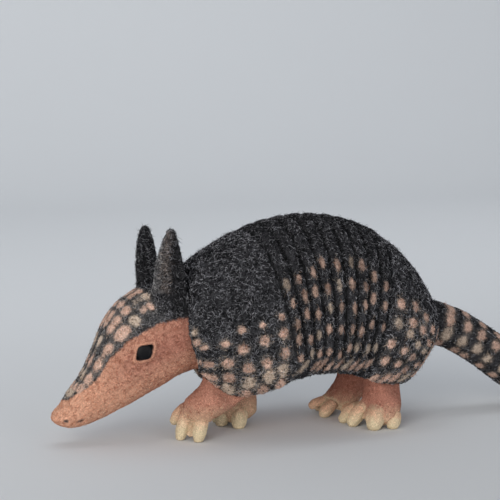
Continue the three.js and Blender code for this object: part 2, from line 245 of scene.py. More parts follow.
@dataclass(frozen=True)
class FeltFinish:
    """Firm needled wool: its colour is in the mesh, and matted strands and pores are added."""

    name: str
    pore: float = 0.5 * MM  # size of the pores between strands
    strand: float = 1.0 * MM  # how far apart the strands run
    finer: float = 1.7  # how much closer the second set of strands runs
    thin: float = 28.0  # how thin the strands are against their distance
    speckle: float = 1.35  # how much the pores differ in tone
    light: float = 2.1  # how much lighter the strands on top are
    even: float = 0.12  # what the strands add to the tone on average, taken off again
    proud: float = 0.8  # height of the strands against the pores
    least: float = 0.2  # share of the relief that wool of one tone keeps
    relief: float = 0.14 * MM
    strength: float = 0.7  # of that relief
    roughness: float = 1.0
    shine: float = 0.08

    def build(self) -> bpy.types.Material:
        """Makes the material.

        Returns:
            The material.
        """
        finish = Finish(self.name)
        place = finish.node("ShaderNodeTexCoord", "Object")
        wool = finish.node("ShaderNodeAttribute", "Color", {"attribute_name": "wool"})
        contrast = finish.node("ShaderNodeAttribute", "Alpha", {"attribute_name": "wool"})
        pores = finish.node("ShaderNodeTexNoise", 0, {}, Vector=place, Scale=1 / self.pore, Detail=2.0)
        scale = 1 / self.strand
        strands = self._strands(finish, place, scale) + self._strands(finish, place, self.finer / self.strand)
        tone = contrast * ((pores - 0.5) * (2 * self.speckle) + strands * self.light - self.even) + 1.0
        shade = finish.node("ShaderNodeCombineColor", 0, {}, Red=tone, Green=tone, Blue=tone)
        height = (pores + strands * self.proud) * (contrast * (1.0 - self.least) + self.least)
        bump = finish.node(
            "ShaderNodeBump", 0, {}, Strength=self.strength, Distance=self.relief, Height=height
        )
        finish.surface(
            Base_Color=finish.mixed(1.0, wool, shade, "MULTIPLY"),
            Roughness=self.roughness,
            Specular_IOR_Level=self.shine,
            Normal=bump,
        )
        return finish.material

    def _strands(self, finish: Finish, place: Socket, scale: float) -> Socket:
        """Thin curled lines, 1 along a strand and 0 beside it.

        Args:
            finish: the material in the making.
            place: where the pattern is read.
            scale: how closely the strands lie.
        Returns:
            The lines.
        """
        curls = finish.node(
            "ShaderNodeTexNoise", 0, {}, Vector=place, Scale=scale, Detail=2.5, Distortion=1.2
        )
        away = finish.node("ShaderNodeMath", 0, {"operation": "ABSOLUTE"}, _0=curls - 0.5)
        clamped = {"operation": "ADD", "use_clamp": True}
        return finish.node("ShaderNodeMath", 0, clamped, _0=away * -self.thin, _1=1.0)


@dataclass(frozen=True)
class FibreFinish:
    """A loose wool fibre, whose colour is in the mesh."""

    name: str
    roughness: float = 0.85
    shine: float = 0.1

    def build(self) -> bpy.types.Material:
        """Makes the material.

        Returns:
            The material.
        """
        finish = Finish(self.name)
        finish.surface(
            Base_Color=finish.node("ShaderNodeAttribute", "Color", {"attribute_name": "wool"}),
            Roughness=self.roughness,
            Specular_IOR_Level=self.shine,
        )
        return finish.material


@dataclass(frozen=True)
class BeadFinish:
    """A polished black bead with the dust of the wool on it."""

    name: str
    colour: Colour = (0.004, 0.004, 0.005)
    dust: Colour = (0.3, 0.28, 0.26)
    dusty: float = 0.02  # how much of the dust shows
    grain: float = 900.0  # specks of dust in a metre
    shine: float = 0.1

    def build(self) -> bpy.types.Material:
        """Makes the material.

        Returns:
            The material.
        """
        finish = Finish(self.name)
        place = finish.node("ShaderNodeTexCoord", "Object")
        dust = finish.node("ShaderNodeTexNoise", 0, {}, Vector=place, Scale=self.grain, Detail=4.0)
        speck = finish.node("ShaderNodeValToRGB", 0, {"stops": [(0.55, 0.0), (0.75, 1.0)]}, Fac=dust)
        finish.surface(
            Base_Color=finish.mixed(speck * self.dusty, (*self.colour, 1.0), (*self.dust, 1.0)),
            Roughness=dust * 0.2 + 0.34,
            Specular_IOR_Level=self.shine,
        )
        return finish.material


@dataclass(frozen=True)
class FloorFinish:
    """A plain pale matt studio floor."""

    name: str
    colour: Colour = (0.70, 0.71, 0.715)

    def build(self) -> bpy.types.Material:
        """Makes the material.

        Returns:
            The material.
        """
        finish = Finish(self.name)
        finish.surface(Base_Color=(*self.colour, 1.0), Roughness=0.8, Specular_IOR_Level=0.2)
        return finish.material


# ---------------------------------------------------------------- wools
class Wool(Enum):
    """The dyed wools that the figure is felted from, each a blend of strands: colour and share."""

    CHARCOAL = (
        ((0.003, 0.003, 0.004), 0.45),
        ((0.011, 0.011, 0.013), 0.20),
        ((0.045, 0.044, 0.049), 0.10),
        ((0.135, 0.134, 0.146), 0.115),
        ((0.48, 0.475, 0.505), 0.135),
    )
    HEATHER = (
        ((0.006, 0.006, 0.007), 0.38),
        ((0.050, 0.050, 0.055), 0.20),
        ((0.17, 0.166, 0.172), 0.20),
        ((0.43, 0.41, 0.40), 0.22),
    )
    PEACH = (((0.62, 0.38, 0.28), 0.45), ((0.77, 0.59, 0.49), 0.37), ((0.42, 0.22, 0.155), 0.18))
    BEIGE = (((0.56, 0.43, 0.33), 0.45), ((0.72, 0.61, 0.50), 0.37), ((0.38, 0.26, 0.19), 0.18))
    SALMON = (((0.325, 0.124, 0.085), 0.48), ((0.49, 0.27, 0.20), 0.28), ((0.25, 0.084, 0.056), 0.24))
    BLUSH = (((0.57, 0.27, 0.168), 0.48), ((0.75, 0.50, 0.36), 0.30), ((0.44, 0.175, 0.105), 0.22))
    CREAM = (((0.54, 0.45, 0.285), 0.5), ((0.65, 0.57, 0.395), 0.32), ((0.48, 0.36, 0.215), 0.18))
    TAUPE = (
        ((0.020, 0.017, 0.016), 0.35),
        ((0.065, 0.052, 0.048), 0.35),
        ((0.17, 0.135, 0.118), 0.20),
        ((0.42, 0.345, 0.30), 0.10),
    )
    BLACK = (((0.006, 0.006, 0.007), 0.9), ((0.03, 0.03, 0.032), 0.1))

    @property
    def colours(self) -> Array:
        """The strands' colours, one a row."""
        return np.array([strand[0] for strand in self.value])

    @property
    def shares(self) -> Array:
        """How common each strand is."""
        return np.array([strand[1] for strand in self.value])

    @property
    def mean(self) -> Array:
        """The blend's colour seen from afar."""
        return self.shares @ self.colours

    @property
    def contrast(self) -> float:
        """How strongly its strands differ in lightness."""
        return CONTRASTS.get(self, 0.4)


WOOLS = list(Wool)
CONTRASTS = {Wool.CHARCOAL: 1.0, Wool.HEATHER: 0.9, Wool.TAUPE: 0.9, Wool.CREAM: 0.25, Wool.BLACK: 0.2}


class Blend:
    """How much of each wool there is at each of a number of places."""

    LIGHT = 1.12  # the matted wool's tone against its strands' mean
    FIBRE_SHADE = 0.74  # how much darker that gets with the wool's contrast: painted shade in the felt under the loose fibres, where pale strands lie on top
    UNEVEN = 0.25  # how far single strands differ in lightness

    def __init__(self, count: int, base: Wool) -> None:
        """Starts with one wool everywhere.

        Args:
            count: the number of places.
            base: the wool.
        """
        self.weights = np.zeros((count, len(WOOLS)))
        self.weights[:, WOOLS.index(base)] = 1.0
        # A factor on each place's colour: the wool's uneven tone, and painted shade where the parts set it.
        self.tone = np.ones(count)

    def lay(self, wool: Wool, share: Array) -> None:
        """Lays a wool over what is there.

        Args:
            wool: the wool.
            share: how much of it shows at each place, from 0 to 1.
        """
        share = np.clip(share, 0.0, 1.0)[:, None]
        self.weights *= 1.0 - share
        self.weights[:, WOOLS.index(wool)] += share[:, 0]

    def felt(self) -> Array:
        """The colour of the matted wool at each place, and its contrast as a fourth number."""
        rows = [[*(wool.mean * (self.LIGHT - self.FIBRE_SHADE * wool.contrast)), wool.contrast] for wool in WOOLS]
        return self.weights @ np.array(rows) * np.stack([self.tone] * 3 + [np.ones(len(self.tone))], axis=1)

    def strand(self, rng: np.random.Generator) -> Array:
        """Draws one strand's colour at each place.

        Args:
            rng: source of the draws.
        Returns:
            The colours, each with a little lightness of its own.
        """
        bounds = np.cumsum(self.weights, axis=1)
        picks = (rng.random(len(bounds))[:, None] * bounds[:, -1:] > bounds).sum(axis=1)
        colours = np.zeros((len(bounds), 3))
        for index, wool in enumerate(WOOLS):
            chosen = picks == index
            if chosen.any():
                drawn = rng.choice(len(wool.colours), chosen.sum(), p=wool.shares)
                colours[chosen] = wool.colours[drawn]
        own = rng.uniform(1.0 - self.UNEVEN, 1.0 + self.UNEVEN, len(colours))
        return colours * (self.tone * own)[:, None]


Look = Callable[[Array, Array, Array, np.random.Generator], tuple[Blend, Array, Array]]


# ---------------------------------------------------------------- charts of the figure
@dataclass(frozen=True)
class Fan:
    """The arched back's own directions: its bands stand in planes that fan out about one line."""

    x: float = -34.995 * MM
    z: float = -80.0 * MM
    level: float = 121.0 * MM  # radius of the back's widest level
    girth: float = 35.0 * MM  # radius of the body round that level

    def chart(self, points: Array) -> tuple[Array, Array, Array]:
        """Places in the fan.

        Args:
            points: one a row.
        Returns:
            The angle in degrees, back from upright; the turn down from the spine in degrees,
            below 0 on the left; and the radius from the fan's line.
        """
        dx, dz = points[:, 0] - self.x, points[:, 2] - self.z
        radius = np.hypot(dx, dz)
        turn = np.degrees(np.arctan2(points[:, 1], radius - self.level))
        return np.degrees(np.arctan2(dx, dz)), turn, radius


@dataclass(frozen=True)
class CentreLine:
    """A bent line through a long part, with the part's half height and half width along it."""

    points: tuple[tuple[float, float, float], ...]  # x, y, z in millimetres
    heights: tuple[float, ...]
    widths: tuple[float, ...]

    def chart(self, points: Array) -> tuple[Array, Array, Array]:
        """Places along and round the part.

        Args:
            points: one a row.
        Returns:
            The length along the line in metres, the turn from the top in degrees, below 0 on the
            left, and the part's mean radius there in metres.
        """
        line = np.array(self.points) * MM
        steps = np.diff(line, axis=0)
        lengths = np.linalg.norm(steps, axis=1)
        starts = np.concatenate([[0.0], np.cumsum(lengths)])
        axes = unit(np.gradient(line, axis=0))
        nearest = np.full(len(points), np.inf)
        along, share, index = np.zeros((3, len(points)))
        for k, (start, step, length) in enumerate(zip(line, steps, lengths)):
            t = np.clip((points - start) @ step / length**2, 0.0, 1.0)
            gap = np.linalg.norm(points - start - t[:, None] * step, axis=1)
            closer = gap < nearest
            nearest[closer] = gap[closer]
            along[closer] = starts[k] + t[closer] * length
            share[closer], index[closer] = t[closer], k
        first = index.astype(int)
        blend = share[:, None]
        axis = unit(axes[first] * (1 - blend) + axes[first + 1] * blend)
        offset = points - (line[first] + blend * steps[first])
        up = unit(np.array([0.0, 0.0, 1.0]) - axis * axis[:, 2:])
        across = np.cross(axis, up)
        half = [np.interp(index + share, range(len(line)), size) * MM for size in (self.heights, self.widths)]
        high, wide = (offset * up).sum(1) / half[0], -(offset * across).sum(1) / half[1]
        return along, np.degrees(np.arctan2(wide, high)), (half[0] + half[1]) / 2


FAN = Fan()
HEAD_LINE = CentreLine(
    points=(
        (-63.0, 0, 42.2), (-69.0, 0, 41.4), (-77.0, 0, 39.0), (-85.3, 0, 36.5), (-92.8, 0, 32.4),
        (-99.6, 0, 27.1), (-105.0, 0, 20.7), (-110.1, 0, 15.2), (-116.3, 0, 11.1), (-122.8, 0, 9.3),
    ),
    heights=(16.2, 16.9, 16.5, 18.2, 18.1, 16.1, 12.2, 8.7, 5.5, 3.5),
    widths=(17, 18.5, 17.6, 15.6, 13, 10.6, 8.6, 7.2, 6.2, 4.9),
)
TAIL_LINE = CentreLine(
    points=(
        (24, 0, 38.2), (31, 0, 36.4), (46, 0, 30.5), (64, -1, 17.8),
        (79, -4, 9.2), (94, -9, 5.6), (110, -16, 3.6), (123, -23, 2.0),
    ),
    heights=(9.0, 8.9, 8.7, 9.0, 7.8, 6.2, 4.2, 2.4),
    widths=(9.0, 8.9, 8.7, 9.0, 7.8, 6.2, 4.2, 2.4),
)


# ---------------------------------------------------------------- spots
@dataclass
class Spots:
    """Felted spots on a chart: middle, half sizes and slant, one a row, in the chart's own units."""

    rows: list[tuple[float, float, float, float, float]] = field(default_factory=list)

    def add(self, along: float, turn: float, half: float, tall: float, slant: float = 0.0) -> None:
        """Adds a spot.

        Args:
            along: place of its middle along the chart.
            turn: place of its middle round the chart, in degrees.
            half: half its size along the chart, in metres.
            tall: half its size round the chart, in metres.
            slant: lean of its long axis, in radians.
        """
        self.rows.append((along, turn, half, tall, slant))

    def measure(self, along: Array, turn: Array, reach: Array, girth: Array) -> tuple[Array, Array, Array]:
        """Finds the nearest spot to each place.

        Args:
            along: places along the chart.
            turn: places round it, in degrees.
            reach: metres for each unit along.
            girth: metres for each degree round.
        Returns:
            The distance from the spot's middle in spot radii, the spot's number, and the
            direction from its middle in radians.
        """
        best = np.full(len(along), FAR)
        which = np.zeros(len(along), int)
        heading = np.zeros(len(along))
        for number, (a, t, half, tall, slant) in enumerate(self.rows):
            dx, dy = (along - a) * reach, (turn - t) * girth
            near = np.flatnonzero((np.abs(dx) < 3 * tall) & (np.abs(dy) < 3 * tall))
            x = dx[near] * math.cos(slant) + dy[near] * math.sin(slant)
            y = dy[near] * math.cos(slant) - dx[near] * math.sin(slant)
            gap = np.hypot(x / half, y / tall)
            closer = near[gap < best[near]]
            best[closer] = gap[gap < best[near]]
            which[closer] = number
            heading[closer] = np.arctan2(dy[closer], dx[closer])
        return best, which, heading


@dataclass(frozen=True)
class ShellPattern:
    """The carapace's grooves and rows of spots."""

    bands: int = 9
    spine: tuple[float, float] = (-4.6, 14.85)  # fan angles of the first and last groove, at the spine
    side: tuple[float, float] = (-1.7, 13.95)  # and at the lower edge
    edge_turn: float = 122.0
    spot: tuple[float, float] = (0.9 * MM, 2.05 * MM)  # half width and height of a band's spot
    dash: tuple[float, float, float] = (0.85 * MM, 2.7 * MM, 0.5)  # and of its edge, with its lean
    # Each column of spots beside the bands: its fan angle, first turn, step between rows and size.
    shoulder: tuple[tuple[float, float, float, float], ...] = (
        (-5.0, 77, 13.0, 1.75), (-8.4, 84, 12.0, 1.85), (-11.8, 84, 13.2, 1.95), (-15.2, 91, 14.0, 2.05),
        (-18.0, 88, 15.0, 1.8),
    )
    hip: tuple[tuple[float, float, float, float], ...] = (
        (17.0, 66, 14.3, 1.6), (20.3, 59, 13.2, 1.75), (23.4, 61, 14.0, 1.8), (26.3, 66, 14.0, 1.75),
    )

    def groove(self, index: Array | float, turn: Array | float) -> Array:
        """Where the grooves run, which sweep a little towards the lower edge.

        Args:
            index: number of the groove, or a place between two.
            turn: turn down from the spine, in degrees.
        Returns:
            The fan angle.
        """
        share = index / self.bands
        top = self.spine[0] + (self.spine[1] - self.spine[0]) * share
        low = self.side[0] + (self.side[1] - self.side[0]) * share
        return top + (low - top) * np.minimum(np.abs(turn) / self.edge_turn, 1.0) ** 3

    def band_place(self, angle: Array, turn: Array) -> Array:
        """How many bands back from the first groove a place is."""
        first, last = self.groove(0.0, turn), self.groove(float(self.bands), turn)
        return (angle - first) / (last - first) * self.bands

    def spots(self, side: int, rng: np.random.Generator) -> Spots:
        """Lays out one side's spots by rows, a little unevenly as by hand.

        Args:
            side: -1 for the left, 1 for the right.
            rng: source of the unevenness.
        Returns:
            The spots.
        """
        spots = Spots()

        def put(angle: float, turn: float, half: float, tall: float, slant: float = 0.0) -> None:
            """Adds a spot close to a place.

            Args:
                angle: fan angle of its middle.
                turn: turn down from the spine, whichever the side.
                half: half its width.
                tall: half its height.
                slant: lean of its long axis.
            """
            size = rng.uniform(0.86, 1.14)
            place = side * (turn + rng.normal(0, 1.2))
            spots.add(angle + rng.normal(0, 0.2), place, half * size, tall * size, side * slant)

        self._band_spots(put)
        self._shoulder_spots(put)
        self._hip_spots(put)
        return spots

    def _band_spots(self, put: Callable[..., None]) -> None:
        """Puts a column of upright spots down each band, from an arched line on, and a dash on its edge.

        Args:
            put: adds a spot.
        """
        narrow, tall = self.spot
        for k in range(self.bands):
            short = k > 6  # the last two bands have one spot less
            first = 46.0 + 1.15 * abs(k - 5.3) ** 1.5 + (5.0 if short else 0.0)
            for turn in np.linspace(first, 107.0 - 0.9 * k, 4 if short else 5):
                below = turn - 60  # the spots get smaller down the side
                half = narrow - 0.002 * below * MM
                put(self.groove(k + 0.5, turn), turn, half, tall * (1.0 - 0.003 * below))
            put(self.groove(k + 0.5, self.edge_turn) + 0.1, 113.5, *self.dash)

    def _shoulder_spots(self, put: Callable[..., None]) -> None:
        """Puts columns of round spots that grow downwards, and four along the front edge.

        Args:
            put: adds a spot.
        """
        for column, (angle, first, step, size) in enumerate(self.shoulder):
            for row, turn in enumerate(np.arange(first, 139, step)):
                share = 0.86 + 0.07 * row
                if row == 0:
                    share = 0.62 if column in (1, 2) else 0.8
                longer = 1.0 + 0.02 * max(turn - 92, 0)
                put(angle, turn, 0.93 * size * share * MM, size * share * longer * MM)
        for angle, turn in ((-18.3, 71), (-19.1, 81), (-19.3, 101), (-19.0, 116)):
            put(angle, turn, 1.0 * MM, 2.0 * MM)

    def _hip_spots(self, put: Callable[..., None]) -> None:
        """Puts columns of spots, slanting dashes on the lower edge and a row down the rear edge.

        Args:
            put: adds a spot.
        """
        for angle, first, step, size in self.hip:
            for turn in np.arange(first, 119, step):
                put(angle, turn, size * MM, 1.2 * size * MM)
        for angle in np.arange(16.0, 28.0, 2.9):
            put(angle, 124, 1.7 * MM, 3.2 * MM, 0.6)
        for turn in np.arange(52, 124, 9.0):
            put(29.0, turn, 1.1 * MM, 2.9 * MM)


@dataclass(frozen=True)
class HeadPattern:
    """The dark shield of the forehead and its spots."""

    # The shield's edge: millimetres along the head, and the turn down from its top in degrees.
    edge: tuple[tuple[float, float], ...] = (
        (0, 74), (9, 68), (14, 64), (40, 66), (46, 68), (50, 63), (54, 54), (58, 40), (61, 25),
        (62.5, 0), (80, -40),
    )
    # Each row of spots: millimetres along the head, and the turns of its spots.
    rows: tuple[tuple[float, tuple[float, ...]], ...] = (
        (22.0, (9, 27, 44)), (26.9, (9, 28, 47)), (32.0, (8, 31, 51)), (38.0, (17, 51)),
        (43.3, (16, 52)), (48.8, (16, 49)), (54.0, (15, 42)), (58.2, (13,)),
    )
    spot: tuple[float, float] = (2.02, 1.88)  # half length and height of a spot, in millimetres

    def spots(self, side: int, rng: np.random.Generator) -> Spots:
        """Lays out one side's spots in rows down the forehead.

        Args:
            side: -1 for the left, 1 for the right.
            rng: source of the unevenness.
        Returns:
            The spots.
        """
        spots = Spots()
        for along, turns in self.rows:
            squeeze = float(np.interp(along, (22.0, 32.0), (0.62, 1.0)))  # the crown bulges here
            for turn in turns:
                size = rng.uniform(0.88, 1.1) * (0.72 if (along < 24 and turn > 40) else 1.0) * MM
                place = (along + rng.normal(0, 0.35)) * MM
                around = side * (turn + rng.normal(0, 1.2))
                spots.add(place, around, self.spot[0] * squeeze * size, self.spot[1] * size)
        return spots


@dataclass(frozen=True)
class TailPattern:
    """Rings of spots round the tail."""

    first: float = 12.0  # millimetres along the tail
    step: float = 7.9  # to the next ring
    count: int = 13
    crowding: float = 0.035  # how much closer and smaller each next ring is
    spot: tuple[float, float] = (1.75, 2.3)  # half length and height of a spot, in millimetres

    def spots(self, rng: np.random.Generator) -> Spots:
        """Lays out the rings, which crowd together towards the tip.

        Args:
            rng: source of the unevenness.
        Returns:
            The spots.
        """
        spots = Spots()
        along = self.first
        for ring in range(self.count):
            closer = 1.0 - self.crowding * ring
            half = self.spot[0] * MM * closer
            tall = (3.0 if ring == 0 else self.spot[1]) * closer * MM
            for turn in range(-158, 180, 44 if ring < 9 else 72):
                place = (along + rng.normal(0, 0.5)) * MM
                spots.add(place, turn + rng.normal(0, 3.0), half, tall)
            along += self.step * closer
        return spots


# ---------------------------------------------------------------- mesh helpers
def deselect() -> None:
    """Leaves no object selected."""
    for other in bpy.context.selected_objects:
        other.select_set(False)


def alone(obj: bpy.types.Object) -> None:
    """Selects one object only and makes it active.

    Args:
        obj: the object.
    """
    deselect()
    obj.select_set(True)
    bpy.context.view_layer.objects.active = obj


def apply_modifier(obj: bpy.types.Object, kind: str, **settings: object) -> None:
    """Adds a modifier and applies it.

    Args:
        obj: the object.
        kind: the modifier's type.
        settings: its settings.
    """
    modifier = obj.modifiers.new(kind.title(), kind)
    for key, value in settings.items():
        setattr(modifier, key, value)
    alone(obj)
    bpy.ops.object.modifier_apply(modifier=modifier.name)


def vertices_of(obj: bpy.types.Object, what: str = "co") -> Array:
    """Reads the vertices.

    Args:
        obj: the object.
        what: "co" for their places, "normal" for their normals.
    Returns:
        The places or normals, one a row.
    """
    values = np.zeros(len(obj.data.vertices) * 3, np.float32)
    if what == "co":
        obj.data.vertices.foreach_get("co", values)
    else:
        obj.data.vertex_normals.foreach_get("vector", values)
    return values.reshape(-1, 3).astype(float)


def thin_out(obj: bpy.types.Object, hidden: Array, triangles: int) -> None:
    """Merges faces where they are hidden.

    Args:
        obj: the object.
        hidden: whether each vertex is hidden.
        triangles: about how many triangles may be left in all.
    """
    group = obj.vertex_groups.new(name="hidden")
    group.add(np.flatnonzero(hidden).tolist(), 1.0, "REPLACE")
    have = 2 * len(obj.data.polygons)
    apply_modifier(obj, "DECIMATE", ratio=min(1.0, triangles / have), vertex_group=group.name)
    obj.vertex_groups.clear()


def refine(obj: bpy.types.Object, centres: list[Vector], reach: float) -> None:
    """Cuts the faces near some points into smaller ones.

    Args:
        obj: the object.
        centres: the points.
        reach: how near a face's middle has to be.
    """
    alone(obj)
    for polygon in obj.data.polygons:
        polygon.select = any((polygon.center - centre).length < reach for centre in centres)
    bpy.ops.object.mode_set(mode="EDIT")
    bpy.ops.mesh.select_mode(type="FACE")
    bpy.ops.mesh.subdivide(number_cuts=2)
    bpy.ops.object.mode_set(mode="OBJECT")
    bpy.ops.object.shade_smooth()


def relax(obj: bpy.types.Object, places: Array, share: Array, rounds: int) -> Array:
    """Smooths places over a mesh.

    Args:
        obj: the object whose edges join them.
        places: one for each vertex.
        share: how strongly each is smoothed, from 0 to 1.
        rounds: how often.
    Returns:
        The smoothed places.
    """
    edges = np.zeros(len(obj.data.edges) * 2, np.int32)
    obj.data.edges.foreach_get("vertices", edges)
    a, b = edges.reshape(-1, 2).T
    count = np.bincount(edges, minlength=len(places))[:, None]
    size = len(places)
    for _ in range(rounds):
        sums = [np.bincount(a, row[b], size) + np.bincount(b, row[a], size) for row in places.T]
        places = places + 0.6 * share[:, None] * (np.stack(sums, axis=1) / count - places)
    return places


def place_vertices(obj: bpy.types.Object, places: Array) -> None:
    """Moves the vertices to new places."""
    obj.data.vertices.foreach_set("co", places.astype(np.float32).ravel())
    obj.data.update()


def paint(obj: bpy.types.Object, colours: Array) -> None:
    """Keeps the wool's colours in the mesh.

    Args:
        obj: the object.
        colours: a colour for each vertex, and the felt's contrast there if it is felt.
    """
    attribute = obj.data.attributes.get("wool") or obj.data.attributes.new("wool", "FLOAT_COLOR", "POINT")
    rows = np.ones((len(colours), 4), np.float32)
    rows[:, : colours.shape[1]] = colours
    attribute.data.foreach_set("color", rows.ravel())


def copy_of(nodes: dict[str, bpy.types.Object], names: list[str], title: str) -> bpy.types.Object:
    """Joins copies of several solids into one new object, with the corners of their faces merged.

    Args:
        nodes: the solids by name.
        names: the ones to copy.
        title: the new object's name.
    Returns:
        The object.
    """
    deselect()
    copies = []
    for name in names:
        copy = bpy.data.objects.new(title, nodes[name].data.copy())
        bpy.context.scene.collection.objects.link(copy)
        copy.select_set(True)
        copies.append(copy)
    bpy.context.view_layer.objects.active = copies[0]
    if len(copies) > 1:
        bpy.ops.object.join()
    obj = copies[0]
    obj.name = title
    obj.data.materials.clear()
    alone(obj)
    bpy.ops.object.mode_set(mode="EDIT")
    bpy.ops.mesh.select_all(action="SELECT")
    bpy.ops.mesh.remove_doubles(threshold=0.005 * MM)
    bpy.ops.object.mode_set(mode="OBJECT")
    return obj


def hand_over(
    obj: bpy.types.Object, finish: bpy.types.Material, replaced: Sequence[str] = ()
) -> None:
    """Dresses a finished piece and enters it in the frame.

    Args:
        obj: the piece.
        finish: its material.
        replaced: the solids whose place it takes.
    """
    obj.data.materials.append(finish)
    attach(obj, "root")
    if replaced:
        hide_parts(*replaced)


def felt_together(obj: bpy.types.Object, voxel: float, swell: tuple[float, ...], rounds: int) -> None:
    """Turns joined solids into one matted form.

    Args:
        obj: the joined solids.
        voxel: size of the new mesh's cells.
        swell: how far the form is grown, step by step, so that gaps and sharp corners close.
        rounds: how often the form is smoothed.
    """
    for step in swell:
        apply_modifier(obj, "DISPLACE", strength=step, mid_level=0.0)
        apply_modifier(obj, "REMESH", mode="VOXEL", voxel_size=voxel)
    apply_modifier(obj, "SMOOTH", factor=0.6, iterations=rounds)
    alone(obj)
    bpy.ops.object.shade_smooth()


class Nearest:
    """Tells which solid is nearest to a point."""

    def __init__(self, nodes: dict[str, bpy.types.Object], names: list[str]) -> None:
        """Prepares a search.

        Args:
            nodes: the solids by name.
            names: the ones to search among.
        """
        self.names = names
        corners, faces, self.owner = [], [], []
        for index, name in enumerate(names):
            places = vertices_of(nodes[name])
            start = len(corners)
            corners.extend(map(tuple, places))
            for polygon in nodes[name].data.polygons:
                faces.append([start + v for v in polygon.vertices])
                self.owner.append(index)
        self.tree = BVHTree.FromPolygons(corners, faces)

    def find(self, points: Array) -> Array:
        """The number of the nearest solid to each point."""
        return np.array([self.owner[self.tree.find_nearest(Vector(p))[2]] for p in points])

    def covers(self, points: Array, reach: float) -> Array:
        """Tells which points are hidden close behind a surface of the solids.

        Args:
            points: the points, one a row.
            reach: how close that is.
        Returns:
            Whether each point is hidden.
        """
        covered = np.zeros(len(points), bool)
        for index, point in enumerate(points):
            hit, normal, _, gap = self.tree.find_nearest(Vector(point))
            covered[index] = gap < reach and (hit - Vector(point)).dot(normal) > 0.6 * gap
        return covered


# ---------------------------------------------------------------- the coat
@dataclass(frozen=True)
class Coat:
    """How the loose fibres of one part lie."""

    tufts: int
    length: float
    width: float
    lift: float  # height of a fibre's middle over the felt
    curl: float  # how far a fibre turns along its length, in radians
    spread: float  # how far the fibres of a tuft differ in direction, in radians
    stray: float  # share of the fibres that stand out
    reach: float  # how far those stand out
    fibres: int = 5  # in each tuft
    joints: int = 3  # points along a fibre


@dataclass
class Ground:
    """The felt that a coat grows on: its mesh, search tree, and the places where fibres may root."""

    obj: bpy.types.Object
    corners: Array = field(init=False)
    faces: Array = field(init=False)
    tree: BVHTree = field(init=False)

    def __post_init__(self) -> None:
        """Reads the mesh."""
        mesh = self.obj.data
        mesh.calc_loop_triangles()
        faces = np.zeros(len(mesh.loop_triangles) * 3, np.int32)
        mesh.loop_triangles.foreach_get("vertices", faces)
        self.faces = faces.reshape(-1, 3)
        self.corners = vertices_of(self.obj)
        self.tree = BVHTree.FromObject(self.obj, bpy.context.evaluated_depsgraph_get())

    def roots(self, count: int, weight: Array, rng: np.random.Generator) -> tuple[Array, Array]:
        """Draws places on the felt.

        Args:
            count: how many.
            weight: how dense the wool is at each vertex; 0 keeps it bare.
            rng: source of the draws.
        Returns:
            The places and the felt's direction outwards there.
        """
        a, b, c = (self.corners[self.faces[:, k]] for k in range(3))
        cross = np.cross(b - a, c - a)
        chance = np.linalg.norm(cross, axis=1) * weight[self.faces].min(axis=1)
        drawn = rng.choice(len(chance), count, p=chance / chance.sum())
        u, v = np.sort(rng.random((2, count)), axis=0)[..., None]
        places = a[drawn] * u + b[drawn] * (v - u) + c[drawn] * (1 - v)
        return places, unit(cross[drawn])

    def drop(self, points: Array) -> tuple[Array, Array]:
        """Brings points to the felt.

        Args:
            points: the points.
        Returns:
            Their places on it, and the felt's directions outwards there.
        """
        found = [self.tree.find_nearest(Vector(p))[:2] for p in points.reshape(-1, 3).tolist()]
        places = np.array([hit[0] for hit in found]).reshape(points.shape)
        return places, np.array([hit[1] for hit in found]).reshape(points.shape)


